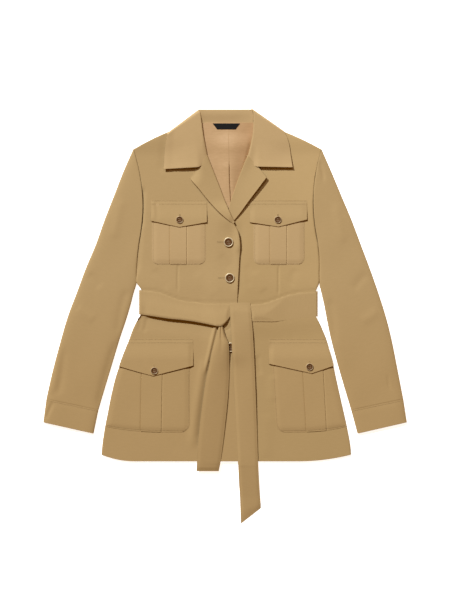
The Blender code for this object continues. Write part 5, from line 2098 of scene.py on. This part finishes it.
@dataclass
class Studio:
    """The pale floor, the soft light and the camera straight above."""

    half_floor: float = 12.0
    floor_glow: float = 0.85
    lamp_tint: str = "#EDF7FF"
    key_at: tuple[float, float, float] = (-0.85, 1.3, 1.26)
    key_power: float = 4.75
    key_spread: float = 1.5
    box_at: tuple[float, float, float] = (0.05, 1.1, 1.15)
    box_power: float = 4.0
    box_size: float = 0.5
    wall: str = "#FFBA46"
    wall_light: float = 0.22
    lens: float = 180.0
    sees_to: float = 50.0
    frame_height: float = 1.26
    target: Pair = (0.0, 0.03465)

    def lamp(self, name: str, kind: str, at: tuple[float, float, float], power: float) -> Light:
        """Hang a light that faces the jacket.

        Args:
            name: The light's name.
            kind: "AREA" for a square soft box, "SUN" for a far lamp.
            at: Its place, in metres.
            power: Watts, or watts to the square metre of a far lamp.

        Returns:
            The light.
        """
        light = bpy.data.lights.new(name, kind)
        light.energy = power
        light.color = srgb(self.lamp_tint)[:3]
        hung = bpy.data.objects.new(name, light)
        bpy.context.scene.collection.objects.link(hung)
        hung.location = at
        hung.rotation_euler = (-Vector(at)).to_track_quat("-Z", "Y").to_euler()
        return light

    def surroundings(self) -> World:
        """Make the warm walls that light the shadows, behind a white backdrop.

        Returns:
            The world.
        """
        world = bpy.data.worlds.new("studio")
        world.use_nodes = True
        tree = world.node_tree
        warm = add(tree, "ShaderNodeBackground", {"Color": srgb(self.wall), "Strength": self.wall_light})
        white = add(tree, "ShaderNodeBackground", {"Color": srgb(PAPER.light), "Strength": 1.0})
        seen = add(tree, "ShaderNodeLightPath", out="Is Camera Ray")
        mixed = add(tree, "ShaderNodeMixShader", {0: seen, 1: warm, 2: white})
        tree.links.new(mixed, tree.nodes["World Output"].inputs["Surface"])
        return world

    def build(self) -> None:
        """Set up floor, lights, surroundings and camera."""
        half = self.half_floor / MM
        corners = np.array([(-half, -half, 0), (half, -half, 0), (half, half, 0), (-half, half, 0)])
        floor = mesh_object("floor", corners, [(0, 1, 2, 3)])
        paper = PAPER.material()
        glow = paper.node_tree.nodes["Principled BSDF"].inputs
        glow["Emission Color"].default_value = srgb(PAPER.light)
        glow["Emission Strength"].default_value = self.floor_glow
        floor.data.materials.append(paper)
        self.lamp("key", "SUN", self.key_at, self.key_power).angle = math.radians(self.key_spread)
        self.lamp("soft_box", "AREA", self.box_at, self.box_power).size = self.box_size
        scene = bpy.context.scene
        scene.world = self.surroundings()
        scene.view_settings.view_transform = "Standard"
        camera = bpy.data.objects.new("camera", bpy.data.cameras.new("camera"))
        camera.data.lens = self.lens
        camera.data.clip_end = self.sees_to
        distance = self.frame_height * self.lens / camera.data.sensor_width
        camera.location = (*self.target, distance)
        scene.collection.objects.link(camera)
        scene.camera = camera


def main() -> None:
    """Build the jacket and the studio."""
    logging.basicConfig(level=logging.INFO, format="%(message)s")
    Studio().build()
    sewing = Sewing("seam_stitches")
    Body().build()
    for side in Side:
        Sleeve(side, sewing).build()
        chest_pocket(side).build(sewing)
        hip_pocket(side).build(sewing)
    Revers().build()
    Neck().build()
    Belt().build()
    Fastenings().build()
    sewing.build()


if __name__ == "__main__":
    main()
